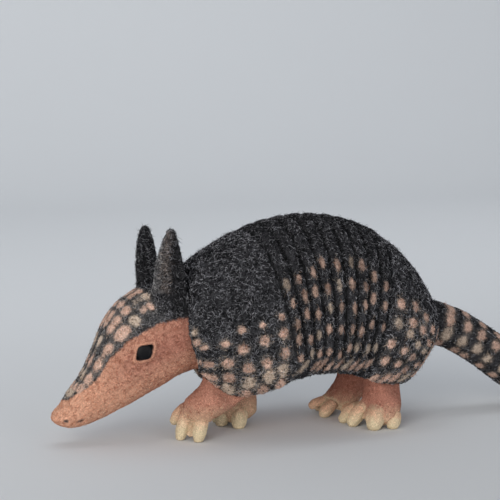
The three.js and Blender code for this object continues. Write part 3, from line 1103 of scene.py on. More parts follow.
class Fleece:
    """Grows the fibres of one coat piece as solid, tapered, three-sided strands."""

    PATCH = 0.003  # size of a tuft's patch on the bake map
    SCATTER = 0.35 * MM  # how far a tuft's fibres stand apart
    LENGTHS = (0.55, 1.25)  # shares of the coat's length, from the shortest fibre to the longest
    WIDTHS = (0.7, 1.25)  # and of its width
    WAVES = (0.2, 0.7)  # how far a fibre turns to and fro along its length, in radians
    TUCK = 0.06 * MM  # how deep the ends go into the felt

    def __init__(self, ground: Ground, coat: Coat, seed: int) -> None:
        """Prepares a coat piece.

        Args:
            ground: the felt that it grows on.
            coat: how it lies.
            seed: of its draws.
        """
        self.ground = ground
        self.coat = coat
        self.rng = np.random.default_rng(seed)

    def grow(self, title: str, weight: Array, look: Look, unwrap: Layout) -> bpy.types.Object:
        """Makes the coat piece.

        Args:
            title: its name.
            weight: how dense the wool is at each vertex of the felt.
            look: gives the Blend, the lengths' shares and the headings at a number of places.
            unwrap: gives the places on the bake map.
        Returns:
            The piece.
        """
        coat, rng = self.coat, self.rng
        roots, outward = self.ground.roots(coat.tufts, weight, rng)
        count = coat.tufts * coat.fibres
        owner = np.repeat(np.arange(coat.tufts), coat.fibres)
        first, second = self._axes(outward)
        shift = rng.normal(0, self.SCATTER, (2, count, 1))
        starts = roots[owner] + first[owner] * shift[0] + second[owner] * shift[1]
        blend, share, heading = look(starts, first[owner], second[owner], rng)
        common = rng.uniform(-math.pi, math.pi, coat.tufts)[owner]
        heading = np.where(np.isnan(heading), common, heading) + rng.normal(0, coat.spread, count)
        length = coat.length * share * rng.uniform(*self.LENGTHS, count)
        path, up = self._paths(starts, first[owner], second[owner], heading, length)
        colours = blend.strand(rng)
        corners, faces = self._strands(path, up, coat.width * rng.uniform(*self.WIDTHS, count))
        obj = self._mesh(title, corners, faces)
        paint(obj, np.repeat(colours, corners.shape[1], axis=0))
        self._bake_map(obj, unwrap(roots)[owner], np.tile(np.arange(coat.fibres), coat.tufts), faces)
        return obj

    @staticmethod
    def _axes(outward: Array) -> tuple[Array, Array]:
        """Finds two directions along the felt at each place.

        Args:
            outward: the felt's direction outwards at each.
        Returns:
            The level one, and the one up or down the slope.
        """
        steady = np.where(np.abs(outward[:, 2:]) < 0.95, [[0.0, 0.0, 1.0]], [[-1.0, 0.0, 0.0]])
        level = unit(np.cross(steady, outward))
        return level, np.cross(outward, level)

    def _paths(
        self, starts: Array, first: Array, second: Array, heading: Array, length: Array
    ) -> tuple[Array, Array]:
        """Bends each fibre along the felt, both ends tucked in unless it is a stray one.

        Args:
            starts: each fibre's middle.
            first: one direction along the felt there.
            second: the other.
            heading: each fibre's angle between them.
            length: its length.
        Returns:
            Points along each fibre, and the felt's directions outwards there.
        """
        coat, rng = self.coat, self.rng
        count, joints = len(starts), coat.joints
        bend = rng.normal(0, coat.curl, count)
        wave = rng.uniform(*self.WAVES, count)
        phase = rng.uniform(0, 2 * math.pi, count)
        middle = (np.arange(joints - 1) + 0.5) / (joints - 1)
        angle = heading[:, None] + bend[:, None] * (middle - 0.5)
        angle = angle + wave[:, None] * np.sin(7 * middle + phase[:, None])
        step = (length / (joints - 1))[:, None]
        flat = np.zeros((count, joints, 2))
        flat[:, 1:, 0] = np.cumsum(np.cos(angle) * step, axis=1)
        flat[:, 1:, 1] = np.cumsum(np.sin(angle) * step, axis=1)
        flat -= flat[:, joints // 2][:, None]
        path = starts[:, None] + flat[..., :1] * first[:, None] + flat[..., 1:] * second[:, None]
        path, up = self.ground.drop(path)
        along = np.linspace(0, 1, joints)
        height = coat.lift * rng.uniform(0.35, 1.2, count)[:, None] * np.sin(math.pi * along) ** 0.8
        height = height - self.TUCK * (np.abs(2 * along - 1) > 0.95)
        stands = rng.random(count) < coat.stray
        rise = coat.reach * rng.uniform(0.3, 1.0, count)[:, None] * along**1.3
        height = np.where(stands[:, None], rise, height)
        path = path + up * height[..., None]
        path[..., 2] = np.maximum(path[..., 2], coat.width)  # none reaches through the floor
        return path, up

    @staticmethod
    def _strands(path: Array, up: Array, width: Array) -> tuple[Array, Array]:
        """Turns paths into closed three-sided strands.

        Args:
            path: points along each fibre.
            up: directions outwards at those points.
            width: each fibre's greatest width.
        Returns:
            The corners of each fibre, and the faces of one.
        """
        count, joints = path.shape[:2]
        along = unit(np.gradient(path, axis=1))
        side = unit(np.cross(along, up))
        top = np.cross(side, along)
        taper = np.sin(math.pi * np.linspace(0.07, 1.0, joints)) ** 0.6
        radius = (width[:, None] * taper / 2)[:, : joints - 1, None, None]
        turn = np.radians([90.0, 210.0, 330.0])[None, None, :, None]
        rings = path[:, : joints - 1, None] + radius * (
            np.cos(turn) * side[:, : joints - 1, None] + np.sin(turn) * top[:, : joints - 1, None]
        )
        corners = np.concatenate([rings.reshape(count, -1, 3), path[:, -1:]], axis=1)
        faces = [(0, 2, 1)]
        for ring in range(joints - 2):
            for k in range(3):
                a, b = 3 * ring + k, 3 * ring + (k + 1) % 3
                faces += [(a, b, b + 3), (a, b + 3, a + 3)]
        tip, last = 3 * (joints - 1), 3 * (joints - 2)
        faces += [(last + k, last + (k + 1) % 3, tip) for k in range(3)]
        return corners, np.array(faces)

    @staticmethod
    def _mesh(title: str, corners: Array, faces: Array) -> bpy.types.Object:
        """Builds one mesh from many like strands.

        Args:
            title: the object's name.
            corners: the corners of each strand.
            faces: the faces of one.
        Returns:
            The object.
        """
        count, each = corners.shape[:2]
        loops = (faces[None] + (np.arange(count) * each)[:, None, None]).reshape(-1).astype(np.int32)
        mesh = bpy.data.meshes.new(title)
        mesh.vertices.add(count * each)
        mesh.vertices.foreach_set("co", corners.astype(np.float32).ravel())
        mesh.loops.add(len(loops))
        mesh.loops.foreach_set("vertex_index", loops)
        mesh.polygons.add(len(loops) // 3)
        mesh.polygons.foreach_set("loop_start", np.arange(0, len(loops), 3, dtype=np.int32))
        mesh.polygons.foreach_set("use_smooth", np.ones(len(loops) // 3, bool))
        mesh.update(calc_edges=True)
        obj = bpy.data.objects.new(title, mesh)
        bpy.context.scene.collection.objects.link(obj)
        return obj

    def _bake_map(self, obj: bpy.types.Object, places: Array, row: Array, faces: Array) -> None:
        """Gives each tuft a small patch of the bake map at its root's place, a strip for each fibre.

        Args:
            obj: the coat piece.
            places: the middle of each fibre's patch.
            row: the fibre's number in its tuft.
            faces: the faces of one fibre.
        """
        joints, each = self.coat.joints, faces.max() + 1
        along = np.append(np.repeat(np.arange(joints - 1), 3), joints - 1) / (joints - 1)
        around = np.append(np.tile([0.2, 0.5, 0.8], joints - 1), 0.5)
        u = places[:, :1] + (along[None] - 0.5) * self.PATCH
        v = places[:, 1:] + ((row[:, None] + around[None]) / self.coat.fibres - 0.5) * self.PATCH
        corner = np.stack([u, v], axis=-1).reshape(-1, 2)
        loops = (faces[None] + (np.arange(len(places)) * each)[:, None, None]).reshape(-1)
        layer = obj.data.uv_layers.new(name="OFBake")
        layer.data.foreach_set("uv", corner[loops].astype(np.float32).ravel())


# ---------------------------------------------------------------- the studio
@dataclass(frozen=True)
class Lamp:
    """A soft square light."""

    name: str
    place: tuple[float, float, float]
    size: float
    power: float  # in watts
    colour: Colour
    target: tuple[float, float, float] = (0.0, 0.0, 0.03)  # the middle of the figure

    def build(self) -> None:
        """Hangs the light so that it faces its target."""
        light = bpy.data.lights.new(self.name, "AREA")
        light.size = self.size
        light.energy = self.power
        light.color = self.colour
        lamp = bpy.data.objects.new(self.name, light)
        lamp.location = self.place
        away = Vector(self.target) - Vector(self.place)
        lamp.rotation_euler = away.to_track_quat("-Z", "Y").to_euler()
        bpy.context.scene.collection.objects.link(lamp)


@dataclass(frozen=True)
class Studio:
    """A plain pale floor that sweeps up behind, soft light and the camera."""

    azimuth: float = -25.0
    elevation: float = 8.5
    distance: float = 0.62
    target: tuple[float, float, float] = (-0.020, 0.0, 0.040)
    pan: float = 23.6 * MM  # how far the aim lies to the left of the target
    tilt: float = 26.2 * MM  # and above it
    lens: float = 117.5
    floor: tuple[float, float, float] = (10.0, 7.8, 1.8)  # its width, its depth and how far back it ends
    sweep: tuple[float, float] = (2.5, 0.8)  # height of the backdrop and size of its bend
    daylight: Colour = (0.86, 0.91, 1.0)
    strength: float = 0.34
    lamps: tuple[Lamp, ...] = (
        Lamp("key", (-0.95, -1.05, 0.40), 0.9, 15.5, (1.0, 0.98, 0.95)),
        Lamp("fill", (0.35, -1.35, 0.12), 0.9, 8.0, (0.97, 0.98, 1.0)),
        Lamp("top", (0.0, 0.2, 1.3), 0.9, 0.6, (0.96, 0.98, 1.0)),
        Lamp("backdrop", (0.3, 0.3, 1.6), 2.4, 17.0, (0.93, 0.96, 1.0), (0.0, 2.6, 1.0)),
    )

    def build(self) -> None:
        """Makes the stage, the lights and the camera."""
        self._floor()
        for lamp in self.lamps:
            lamp.build()
        self._world()
        self._camera()

    def _floor(self) -> None:
        """Makes a level floor that bends up into a backdrop far behind."""
        wide, deep, rear = self.floor
        high, bend = self.sweep
        bpy.ops.mesh.primitive_plane_add(size=1.0, location=(0.0, 0.0, 0.0))
        floor = bpy.context.object
        floor.name = "studio_floor"
        places = vertices_of(floor)
        place_vertices(floor, places * np.array([wide, deep, 1.0]) + np.array([0.0, rear - deep / 2, 0.0]))
        bpy.ops.object.mode_set(mode="EDIT")
        bpy.ops.mesh.select_all(action="DESELECT")
        bpy.ops.mesh.select_mode(type="EDGE")
        bpy.ops.object.mode_set(mode="OBJECT")
        for edge in floor.data.edges:
            ends = [floor.data.vertices[v].co.y for v in edge.vertices]
            edge.select = min(ends) > 1.0
        bpy.ops.object.mode_set(mode="EDIT")
        bpy.ops.mesh.extrude_region_move(TRANSFORM_OT_translate={"value": (0.0, 0.0, high)})
        bpy.ops.object.mode_set(mode="OBJECT")
        for edge in floor.data.edges:
            ends = [floor.data.vertices[v].co for v in edge.vertices]
            edge.select = all(end.y > 1.0 and end.z < 0.01 for end in ends)
        bpy.ops.object.mode_set(mode="EDIT")
        bpy.ops.mesh.bevel(offset=bend, segments=16, affect="EDGES")
        bpy.ops.object.mode_set(mode="OBJECT")
        bpy.ops.object.transform_apply(location=True, rotation=True, scale=True)
        bpy.ops.object.shade_smooth()
        floor.data.materials.append(FloorFinish("pale_floor").build())

    def _world(self) -> None:
        """Sets soft light from all round."""
        world = bpy.data.worlds.new("studio")
        world.use_nodes = True
        background = world.node_tree.nodes["Background"]
        background.inputs["Color"].default_value = (*self.daylight, 1.0)
        background.inputs["Strength"].default_value = self.strength
        bpy.context.scene.world = world
        bpy.context.scene.view_settings.view_transform = "Standard"

    def _camera(self) -> None:
        """Sets the camera, level, a little over the figure and to its left front."""
        a, e = math.radians(self.azimuth), math.radians(self.elevation)
        back = Vector((math.sin(a) * math.cos(e), -math.cos(a) * math.cos(e), math.sin(e)))
        right = Vector((math.cos(a), math.sin(a), 0.0))
        camera = bpy.data.objects.new("camera", bpy.data.cameras.new("camera"))
        camera.data.lens = self.lens
        camera.data.clip_start = 0.05
        camera.location = Vector(self.target) + back * self.distance
        aim = Vector(self.target) - right * self.pan + back.cross(right) * self.tilt
        camera.rotation_euler = (aim - camera.location).to_track_quat("-Z", "Y").to_euler()
        bpy.context.scene.collection.objects.link(camera)
        bpy.context.scene.camera = camera


# ---------------------------------------------------------------- the figure's parts
SHELL_NODES = ["shoulder_shield", *[f"band_{k}" for k in range(1, 10)], "hip_shield"]
LEG_NODES = [f"leg_{end}_{side}" for end in ("front", "hind") for side in ("left", "right")]
EAR_NODES = ["ear_left", "ear_right"]
FLESH_NODES = ["head", "head_shield", *EAR_NODES, "neck", "trunk", "tail", *LEG_NODES]
EYES = ["eye_left", "eye_right"]


def ragged_height(places: Array) -> Array:
    """The height over the floor, made uneven so that two wools meet in an uneven line."""
    return places[:, 2] + 2.0 * MM * ripple(places, 1.6 * MM, 12)


def on_hind_feet(places: Array) -> Array:
    """Whether each place is as far back as the hind feet."""
    return places[:, 0] > -15.0 * MM


@dataclass
class Carapace:
    """The felted shell: shoulder shield, nine bands and hip shield, needled into one."""

    nodes: dict[str, bpy.types.Object]
    voxel: float = 0.6 * MM
    depth: float = 0.45 * MM  # of the loose coat over the felt
    swell: float = 0.2 * MM
    crown: float = 1.1 * MM  # how much lower the solid bands are along their edges
    fill: tuple[float, float] = (0.72, 0.55)  # share of that filled with wool, at the spine and below
    groove_depth: tuple[float, float] = (0.7 * MM, 0.75 * MM)  # at the spine and down the sides
    groove_width: float = 0.15  # in bands
    raised: float = 0.38 * MM  # height of a spot
    pressed: float = 0.16 * MM  # how much less its middle is raised
    triangles: int = 188000
    seed: int = 11
    pattern: ShellPattern = field(default_factory=ShellPattern)
    obj: bpy.types.Object = field(init=False)
    spots: list[Spots] = field(init=False)

    def build(self, finish: bpy.types.Material) -> bpy.types.Object:
        """Fuses the plates, presses in the grooves and raises the spots.

        Args:
            finish: the felt.
        Returns:
            The felted shell.
        """
        self.spots = [self.pattern.spots(side, np.random.default_rng(self.seed + side)) for side in SIDES]
        self.obj = copy_of(self.nodes, SHELL_NODES, "felt_carapace")
        felt_together(self.obj, self.voxel, (self.swell,), 6)
        thin_out(self.obj, self.facing(self.obj) < -0.4, self.triangles)
        places, outward = vertices_of(self.obj), vertices_of(self.obj, "normal")
        angle, turn, _ = FAN.chart(places)
        outer = ease(self.facing(self.obj), -0.1, 0.5)
        height = -self.swell - (self.depth - 0.12 * MM * ripple(places, 4.0 * MM)) * outer
        down = np.abs(turn)
        band = self.groove_gap(angle, turn)
        filled = np.interp(down, (15.0, 75.0), self.fill) * self.crown * np.clip(1.0 - 2.0 * band, 0.0, 1.0)
        deep = np.interp(down, (15.0, 65.0), self.groove_depth) * self.groove(angle, turn)
        height = height + (filled - deep) * outer
        gap, _, _ = self.measure(places)
        height = height + (self.raised * ease(gap, 1.15, 0.6) - self.pressed * bell(gap, 0.3)) * outer
        place_vertices(self.obj, places + outward * height[:, None])
        paint(self.obj, self.blend(vertices_of(self.obj)).felt())
        hand_over(self.obj, finish, SHELL_NODES)
        return self.obj

    @staticmethod
    def facing(obj: bpy.types.Object) -> Array:
        """Tells how far the vertices face away from the middle of the body.

        Args:
            obj: the shell, or a part of it.
        Returns:
            From -1, towards the middle, to 1, for each vertex.
        """
        places = vertices_of(obj)
        angle, _, radius = FAN.chart(places)
        a = np.radians(angle)
        away = (radius - FAN.level)[:, None] * np.stack([np.sin(a), np.zeros(len(a)), np.cos(a)], axis=1)
        away[:, 1] = places[:, 1]
        return (vertices_of(obj, "normal") * unit(away)).sum(1)

    def groove_gap(self, angle: Array, turn: Array) -> Array:
        """How far the nearest groove is, in bands."""
        band = self.pattern.band_place(angle, turn)
        return np.abs(band - np.clip(np.round(band), 0, self.pattern.bands))

    def groove(self, angle: Array, turn: Array) -> Array:
        """1 in the bottom of a groove, fading to 0 beside it and at the lower edge."""
        fading = 1.0 - 0.7 * ease(np.abs(turn), 105.0, 111.0)
        return bell(self.groove_gap(angle, turn), self.groove_width) * fading

    def measure(self, places: Array) -> tuple[Array, Array, Array]:
        """Finds the nearest spot.

        Args:
            places: one a row.
        Returns:
            The distance in radii, the spot's number, and the direction from its middle.
        """
        angle, turn, radius = FAN.chart(places)
        reach, girth = np.radians(radius), np.full(len(places), math.radians(1.0) * FAN.girth)
        left = self.spots[0].measure(angle, turn, reach, girth)
        right = self.spots[1].measure(angle, turn, reach, girth)
        return tuple(np.where(turn < 0, a, b) for a, b in zip(left, right))

    def blend(self, places: Array) -> Blend:
        """Lays the wools of the shell, with painted shade in its grooves and on the bands' spots.

        Args:
            places: one a row.
        Returns:
            The blend.
        """
        blend = Blend(len(places), Wool.CHARCOAL)
        angle, turn, _ = FAN.chart(places)
        gap, which, _ = self.measure(places)
        ragged = gap + 0.36 * ripple(places, 0.8 * MM, 3)
        band = self.pattern.band_place(angle, turn)
        banded = ease(band, -0.3, 0.3) * ease(band, 9.3, 8.7)
        blend.lay(Wool.HEATHER, (0.42 - 0.22 * banded) * ease(ragged, 2.9 - 0.6 * banded, 1.1))
        blend.lay(Wool.BEIGE, 0.06 * ease(ragged, 2.3, 1.2) * (1.0 - banded))
        inside = ease(ragged, 1.34, 0.74) * (0.8 + 0.017 * (which * 37 % 11))
        pale = (which * 7 % 5) == 0
        blend.lay(Wool.PEACH, inside * ~pale)
        blend.lay(Wool.BEIGE, inside * pale)
        # Painted shade: the spots on the bands are darkened, as they lie in the bands' shade.
        spot_shade = 1.0 - 0.3 * banded * inside
        high = ease(np.abs(turn), 75.0, 45.0)
        part = 0.98 - (0.16 + 0.1 * high) * banded
        # Darker in the grooves: wool with fewer pale strands there, and painted shade.
        groove_shade = 1.0 - 0.72 * self.groove(angle, turn)
        patchy = 0.28 * ripple(places, 7.0 * MM, 8) + 0.22 * ripple(places, 2.6 * MM, 2)
        blend.tone = part * groove_shade * spot_shade * (1.0 + patchy)
        return blend


@dataclass
class Eye:
    """A black bead between felted lids, its black corners drawn out to a slanting four-sided shape."""

    name: str
    side: int
    slant: float = 7.0  # rise of its level edges towards the rear, in degrees
    shear: float = 0.34  # how far its upright edges lean, forward at the foot
    corners: float = 4.2  # how square its corners are; 2 is an ellipse
    long: float = 2.75 * MM
    short: float = 2.5 * MM
    proud: float = 1.0 * MM  # how far the bead stands out
    flat: float = 0.25  # its depth as a share of a ball's
    centre: Vector = field(init=False)
    radius: float = field(init=False)

    def __post_init__(self) -> None:
        """Finds the bead's middle and size."""
        low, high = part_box(self.name)
        self.centre = (low + high) / 2 + Vector(self.axes()[2]) * self.proud
        self.radius = (high - low).z / 2

    def axes(self) -> tuple[Array, Array, Array]:
        """Gives the eye's own directions.

        Returns:
            The level one to the rear, the upright one and the one it looks in.
        """
        look = unit(np.array([-0.22, self.side * 0.97, 0.03]))
        a = math.radians(self.slant)
        along = np.array([math.cos(a), 0.0, math.sin(a)])
        along = unit(along - look * (along @ look))
        return along, -self.side * np.cross(look, along), look

    def measure(self, places: Array) -> Array:
        """Measures from the eye's middle.

        Args:
            places: one a row.
        Returns:
            The distance, 1 on the eye's edge.
        """
        along, upright, look = self.axes()
        offset = places - np.array(self.centre)
        height = offset @ upright
        x, y = np.abs(offset @ along - self.shear * height) / self.long, np.abs(height) / self.short
        near = (offset @ look) > -2.0 * MM
        return np.where(near, (x**self.corners + y**self.corners) ** (1 / self.corners), FAR)

    def build(self, finish: bpy.types.Material) -> bpy.types.Object:
        """Makes the bead, flattened from a ball.

        Args:
            finish: the bead's own.
        Returns:
            The bead.
        """
        bpy.ops.mesh.primitive_uv_sphere_add(
            segments=48, ring_count=32, radius=self.radius, location=self.centre
        )
        bead = bpy.context.object
        bead.name = f"bead_{self.name}"
        alone(bead)
        bpy.ops.object.transform_apply(location=True, rotation=True, scale=True)
        places = vertices_of(bead)
        look = self.axes()[2]
        offset = places - np.array(self.centre)
        place_vertices(bead, places - look * ((offset @ look) * (1.0 - self.flat))[:, None])
        bpy.ops.object.shade_smooth()
        hand_over(bead, finish, [self.name])
        return bead


@dataclass
class Body:
    """The head, ears, neck, trunk, legs and tail, felted into one skin."""

    nodes: dict[str, bpy.types.Object]
    eyes: list[Eye]
    claws: list[str]
    voxel: float = 0.76 * MM
    depth: float = 0.35 * MM
    swell: tuple[float, ...] = (0.2 * MM, 1.1 * MM)
    triangles: int = 160000
    seeds: tuple[int, int] = (31, 41)  # of the forehead's spots and the tail's
    nostril: tuple[float, float] = (65.8, 103.0)  # millimetres along the head, and turn in degrees
    mouth: tuple[float, float] = (61.6, 123.0)  # the mouth's corner, likewise
    ear_look: tuple[float, float] = (-0.56, 0.83)  # the way an ear's hollow faces: along X, and out
    ear_root: tuple[float, float] = (-80.2, 8.8)  # where its streak starts, in millimetres
    ear_rise: tuple[float, float] = (48.0, 32.0)  # height of an ear's foot and its length
    head: HeadPattern = field(default_factory=HeadPattern)
    obj: bpy.types.Object = field(init=False)
    parts: Array = field(init=False)  # the number of the solid that each vertex belongs to
    search: Nearest = field(init=False)
    mask_spots: list[Spots] = field(init=False)
    tail_spots: Spots = field(init=False)

    def build(self, finish: bpy.types.Material) -> bpy.types.Object:
        """Fuses the flesh, shapes lids, nostrils and mouth, and colours the wool.

        Args:
            finish: the felt.
        Returns:
            The felted body.
        """
        first, second = self.seeds
        self.mask_spots = [self.head.spots(side, np.random.default_rng(first + side)) for side in SIDES]
        self.tail_spots = TailPattern().spots(np.random.default_rng(second))
        names = [*FLESH_NODES, *EYES, *self.claws]
        self.obj = copy_of(self.nodes, names, "felt_body")
        felt_together(self.obj, self.voxel, self.swell, 8)
        places, outward = vertices_of(self.obj), vertices_of(self.obj, "normal")
        place_vertices(self.obj, places - outward * sum(self.swell))
        apply_modifier(self.obj, "SMOOTH", factor=0.6, iterations=4)
        thin_out(self.obj, self.under_shell(), self.triangles)
        refine(self.obj, [eye.centre for eye in self.eyes], 6.0 * MM)
        self.search = Nearest(self.nodes, names)
        places, outward = vertices_of(self.obj), vertices_of(self.obj, "normal")
        self.parts = self.search.find(places)
        limbs = self.is_part(self.parts, "leg", "trunk") * ease(places[:, 2], 4.0 * MM, 9.0 * MM)
        places = relax(self.obj, places, limbs, 40)
        near_eye = sum(ease(eye.measure(places), 3.0, 2.4) for eye in self.eyes)
        places = relax(self.obj, places, near_eye, 25)
        height = self._relief(places) - self.depth + 0.07 * MM * ripple(places, 3.0 * MM, 5)
        place_vertices(self.obj, places + outward * height[:, None])
        places = vertices_of(self.obj)
        paint(self.obj, self.blend(places, vertices_of(self.obj, "normal"), self.parts).felt())
        hand_over(self.obj, finish, FLESH_NODES)
        return self.obj

    def under_shell(self) -> Array:
        """Which vertices the shell hides."""
        return Nearest(self.nodes, SHELL_NODES).covers(vertices_of(self.obj), TUCKED)

    def is_part(self, parts: Array, *starts: str) -> Array:
        """Whether each place is on a part whose name starts with one of some words."""
        wanted = [k for k, name in enumerate(self.search.names) if name.startswith(starts)]
        return np.isin(parts, wanted)

    def _relief(self, places: Array) -> Array:
        """Shapes what the needle raised and pressed in: toes, ears, lids, nostrils, mouth and spots.

        Args:
            places: the vertices' places.
        Returns:
            The height outwards at each.
        """
        claw = self.is_part(self.parts, "claw")
        height = claw * (0.15 - 0.9 * ease(places[:, 2], 8.5 * MM, 5.5 * MM)) * MM
        height += 0.35 * MM * self.is_part(self.parts, "ear")
        for eye in self.eyes:
            gap = eye.measure(places)
            height += 0.45 * MM * bell(gap - 1.28, 0.2) - 2.0 * MM * ease(gap, 1.06, 0.9)
        along, turn, _ = HEAD_LINE.chart(places)
        nostril = self._gap(along, turn, self.nostril, (1.1, 11.0))
        height -= 0.55 * MM * bell(nostril, 1.0)
        mouth = np.abs(np.abs(turn) - 124.0 + 0.8 * (along / MM - 61.4)) / 7.0
        height -= 0.35 * MM * bell(mouth, 1.0) * ease(along / MM, 59.5, 61.5)
        spots, _ = self.spot_gap(places, self.parts)
        height += 0.22 * MM * ease(spots, 1.1, 0.7)
        return height

    @staticmethod
    def _gap(along: Array, turn: Array, middle: tuple[float, float], size: tuple[float, float]) -> Array:
        """Distance on the head from a place that both its sides have, in shares of a size."""
        return np.hypot((along / MM - middle[0]) / size[0], (np.abs(turn) - middle[1]) / size[1])

    def spot_gap(self, places: Array, parts: Array) -> tuple[Array, Array]:
        """Finds the nearest spot of the forehead or tail.

        Args:
            places: one a row.
            parts: the number of the solid that each belongs to.
        Returns:
            The distance in radii, and the spot's number.
        """
        gap, which = np.full(len(places), FAR), np.zeros(len(places), int)
        along, turn, radius = HEAD_LINE.chart(places)
        girth = np.radians(radius)
        for side, spots in zip(SIDES, self.mask_spots):
            on = (np.sign(turn) == side) & self.is_part(parts, "head", "neck", "ear")
            found = spots.measure(along[on], turn[on], np.ones(on.sum()), girth[on])
            gap[on], which[on] = found[0], found[1]
        on = self.is_part(parts, "tail")
        along, turn, radius = TAIL_LINE.chart(places[on])
        found = self.tail_spots.measure(along, turn, np.ones(on.sum()), np.radians(radius))
        gap[on], which[on] = found[0], found[1]
        return gap, which

    def mask(self, places: Array) -> Array:
        """Measures from the edge of the dark forehead shield.

        Args:
            places: one a row.
        Returns:
            How far inside it each place is, in metres.
        """
        along, turn, radius = HEAD_LINE.chart(places)
        at, edge = np.array(self.head.edge).T
        return np.radians(np.interp(along / MM, at, edge) - np.abs(turn)) * radius

    def blend(self, places: Array, outward: Array, parts: Array) -> Blend:
        """The wools of the body, with painted shade by the shell's rim, on the ears and on the tail.

        Args:
            places: one a row.
            outward: the felt's direction outwards at each.
            parts: the number of the solid that each belongs to.
        Returns:
            The blend.
        """
        blend = Blend(len(places), Wool.SALMON)
        along, turn, _ = HEAD_LINE.chart(places)
        on_head = self.is_part(parts, "head", "neck", "eye")
        blend.lay(Wool.BLUSH, on_head * ease(along / MM, 28.0, 56.0) * 0.95)
        # Painted shade: this pink fades out towards the shell's rim, leaving the darker salmon on the cheek
        # there.
        blend.lay(Wool.BLUSH, on_head * ease(np.abs(turn), 95.0, 55.0) * ease(along / MM, 8.0, 30.0) * 0.6)
        blend.lay(Wool.BLUSH, on_head * ease(np.abs(turn), 95.0, 125.0) * 0.62)
        ragged = 0.35 * MM * ripple(places, 1.0 * MM, 9)
        inside = ease(self.mask(places) + ragged, -0.45 * MM, 0.45 * MM)
        blend.lay(Wool.CHARCOAL, on_head * inside)
        blend.lay(Wool.HEATHER, on_head * inside * ease(along / MM, 14.0, 26.0) * 0.75)
        # Painted shade: the rear of the forehead's dark wool, by the ears' feet and the shell's rim, is
        # darkened.
        blend.tone *= 1.0 - 0.55 * on_head * inside * ease(along / MM, 20.0, 12.0)
        nape = self.is_part(parts, "trunk", "neck") * ease(places[:, 2], 44.0 * MM, 48.0 * MM)
        blend.lay(Wool.CHARCOAL, nape)
        blend.lay(Wool.CHARCOAL, self.is_part(parts, "ear", "tail") * 1.0)
        self._ear_wools(blend, places, outward, parts)
        self._spot_wools(blend, places, parts, on_head * inside)
        self._foot_wools(blend, places, parts)
        for eye in self.eyes:
            reach = eye.measure(places)
            blend.lay(Wool.BLUSH, ease(reach, 1.7, 1.3) * 0.45)
            blend.lay(Wool.BLACK, ease(reach, 1.12, 1.02))
        nostril = self._gap(along, turn, self.nostril, (0.9, 9.0))
        blend.lay(Wool.TAUPE, on_head * ease(nostril, 1.35, 0.7) * 0.92)
        corner = self._gap(along, turn, self.mouth, (1.3, 6.0))
        blend.lay(Wool.TAUPE, on_head * ease(corner, 1.2, 0.6) * 0.8)
        return blend

    def _spot_wools(self, blend: Blend, places: Array, parts: Array, inside: Array) -> None:
        """Lays the spots of the forehead and tail, with some beige between them, and darkens the tail as
        painted shade.

        Args:
            blend: the wools to lay over.
            places: one a row.
            parts: the number of the solid that each belongs to.
            inside: how far each is in the dark wool of the forehead, from 0 to 1.
        """
        gap, which = self.spot_gap(places, parts)
        on_head = self.is_part(parts, "head", "neck", "eye")
        blend.lay(Wool.BEIGE, 0.08 * inside * ease(gap, 2.4, 1.2))
        tail = self.is_part(parts, "tail")
        blend.lay(Wool.BEIGE, 0.1 * tail * ease(gap, 2.2, 1.2))
        # Painted shade: the whole tail is darkened, as it lies in shade.
        blend.tone *= 1.0 - 0.27 * tail
        spot = 0.92 * ease(gap + (0.3 + 0.3 * tail) * ripple(places, 0.7 * MM, 4), 1.45, 0.68)
        spot = spot * np.where(on_head, ease(self.mask(places), -0.3 * MM, 0.5 * MM), 1.0)
        pale = (which % 4) == 1
        blend.lay(Wool.PEACH, spot * ~pale)
        blend.lay(Wool.BEIGE, spot * pale)

    def _foot_wools(self, blend: Blend, places: Array, parts: Array) -> None:
        """Lays paler wool down the front legs, over the feet and at the toes.

        Args:
            blend: the wools to lay over.
            places: one a row.
            parts: the number of the solid that each belongs to.
        """
        rise = ragged_height(places)
        hind = on_hind_feet(places)
        foot = self.is_part(parts, "leg", "claw") * ease(rise + 4.5 * MM * hind, 16.0 * MM, 5.0 * MM)
        toes = self.is_part(parts, "claw") * ease(rise, 12.0 * MM, 6.0 * MM)
        blend.lay(Wool.BLUSH, 0.22 * self.is_part(parts, "leg_front") * ease(rise, 28.0 * MM, 14.0 * MM))
        blend.lay(Wool.BLUSH, foot * 0.7)
        blend.lay(Wool.CREAM, np.maximum(foot * 0.42, toes * 0.6))

    def _ear_wools(self, blend: Blend, places: Array, outward: Array, parts: Array) -> None:
        """Lays a brownish streak down the hollow of each ear, grey before it and charcoal behind it, with
        painted shade behind the streak and on the ear's back.

        Args:
            blend: the wools to lay over.
            places: one a row.
            outward: the felt's direction outwards at each.
            parts: the number of the solid that each belongs to.
        """
        for side, name in zip(SIDES, EAR_NODES):
            front, out = self.ear_look
            facing, broad = np.array([front, side * out, 0.0]), np.array([out, -side * front, 0.0])
            hollow = self.is_part(parts, name) * ease(outward @ facing, 0.3, 0.8)
            rear = self.is_part(parts, name) * ease(outward @ facing, 0.5, -0.2)
            height = np.clip((places[:, 2] / MM - self.ear_rise[0]) / self.ear_rise[1], 0.0, 1.0)
            base = np.array([self.ear_root[0], side * self.ear_root[1], 0.0]) * MM
            across = (places - base) @ broad / MM + 0.8 * ripple(places, 2.5 * MM, 6)
            middle = 2.5 * height - 1.8
            blend.lay(Wool.HEATHER, 0.9 * hollow * ease(across - middle, 1.8, 0.4))
            blend.lay(Wool.TAUPE, 0.6 * hollow * bell(across - middle, 1.9))
            # The hollow before the streak is made lighter. Painted shade darkens the hollow behind the
            # streak, where it turns away from the light, and also the ear's back.
            shade = ease(across - middle, 1.0, 2.8)
            blend.tone *= 1.0 + 0.3 * hollow * (1.0 - shade) - 0.5 * hollow * shade - 0.3 * rear


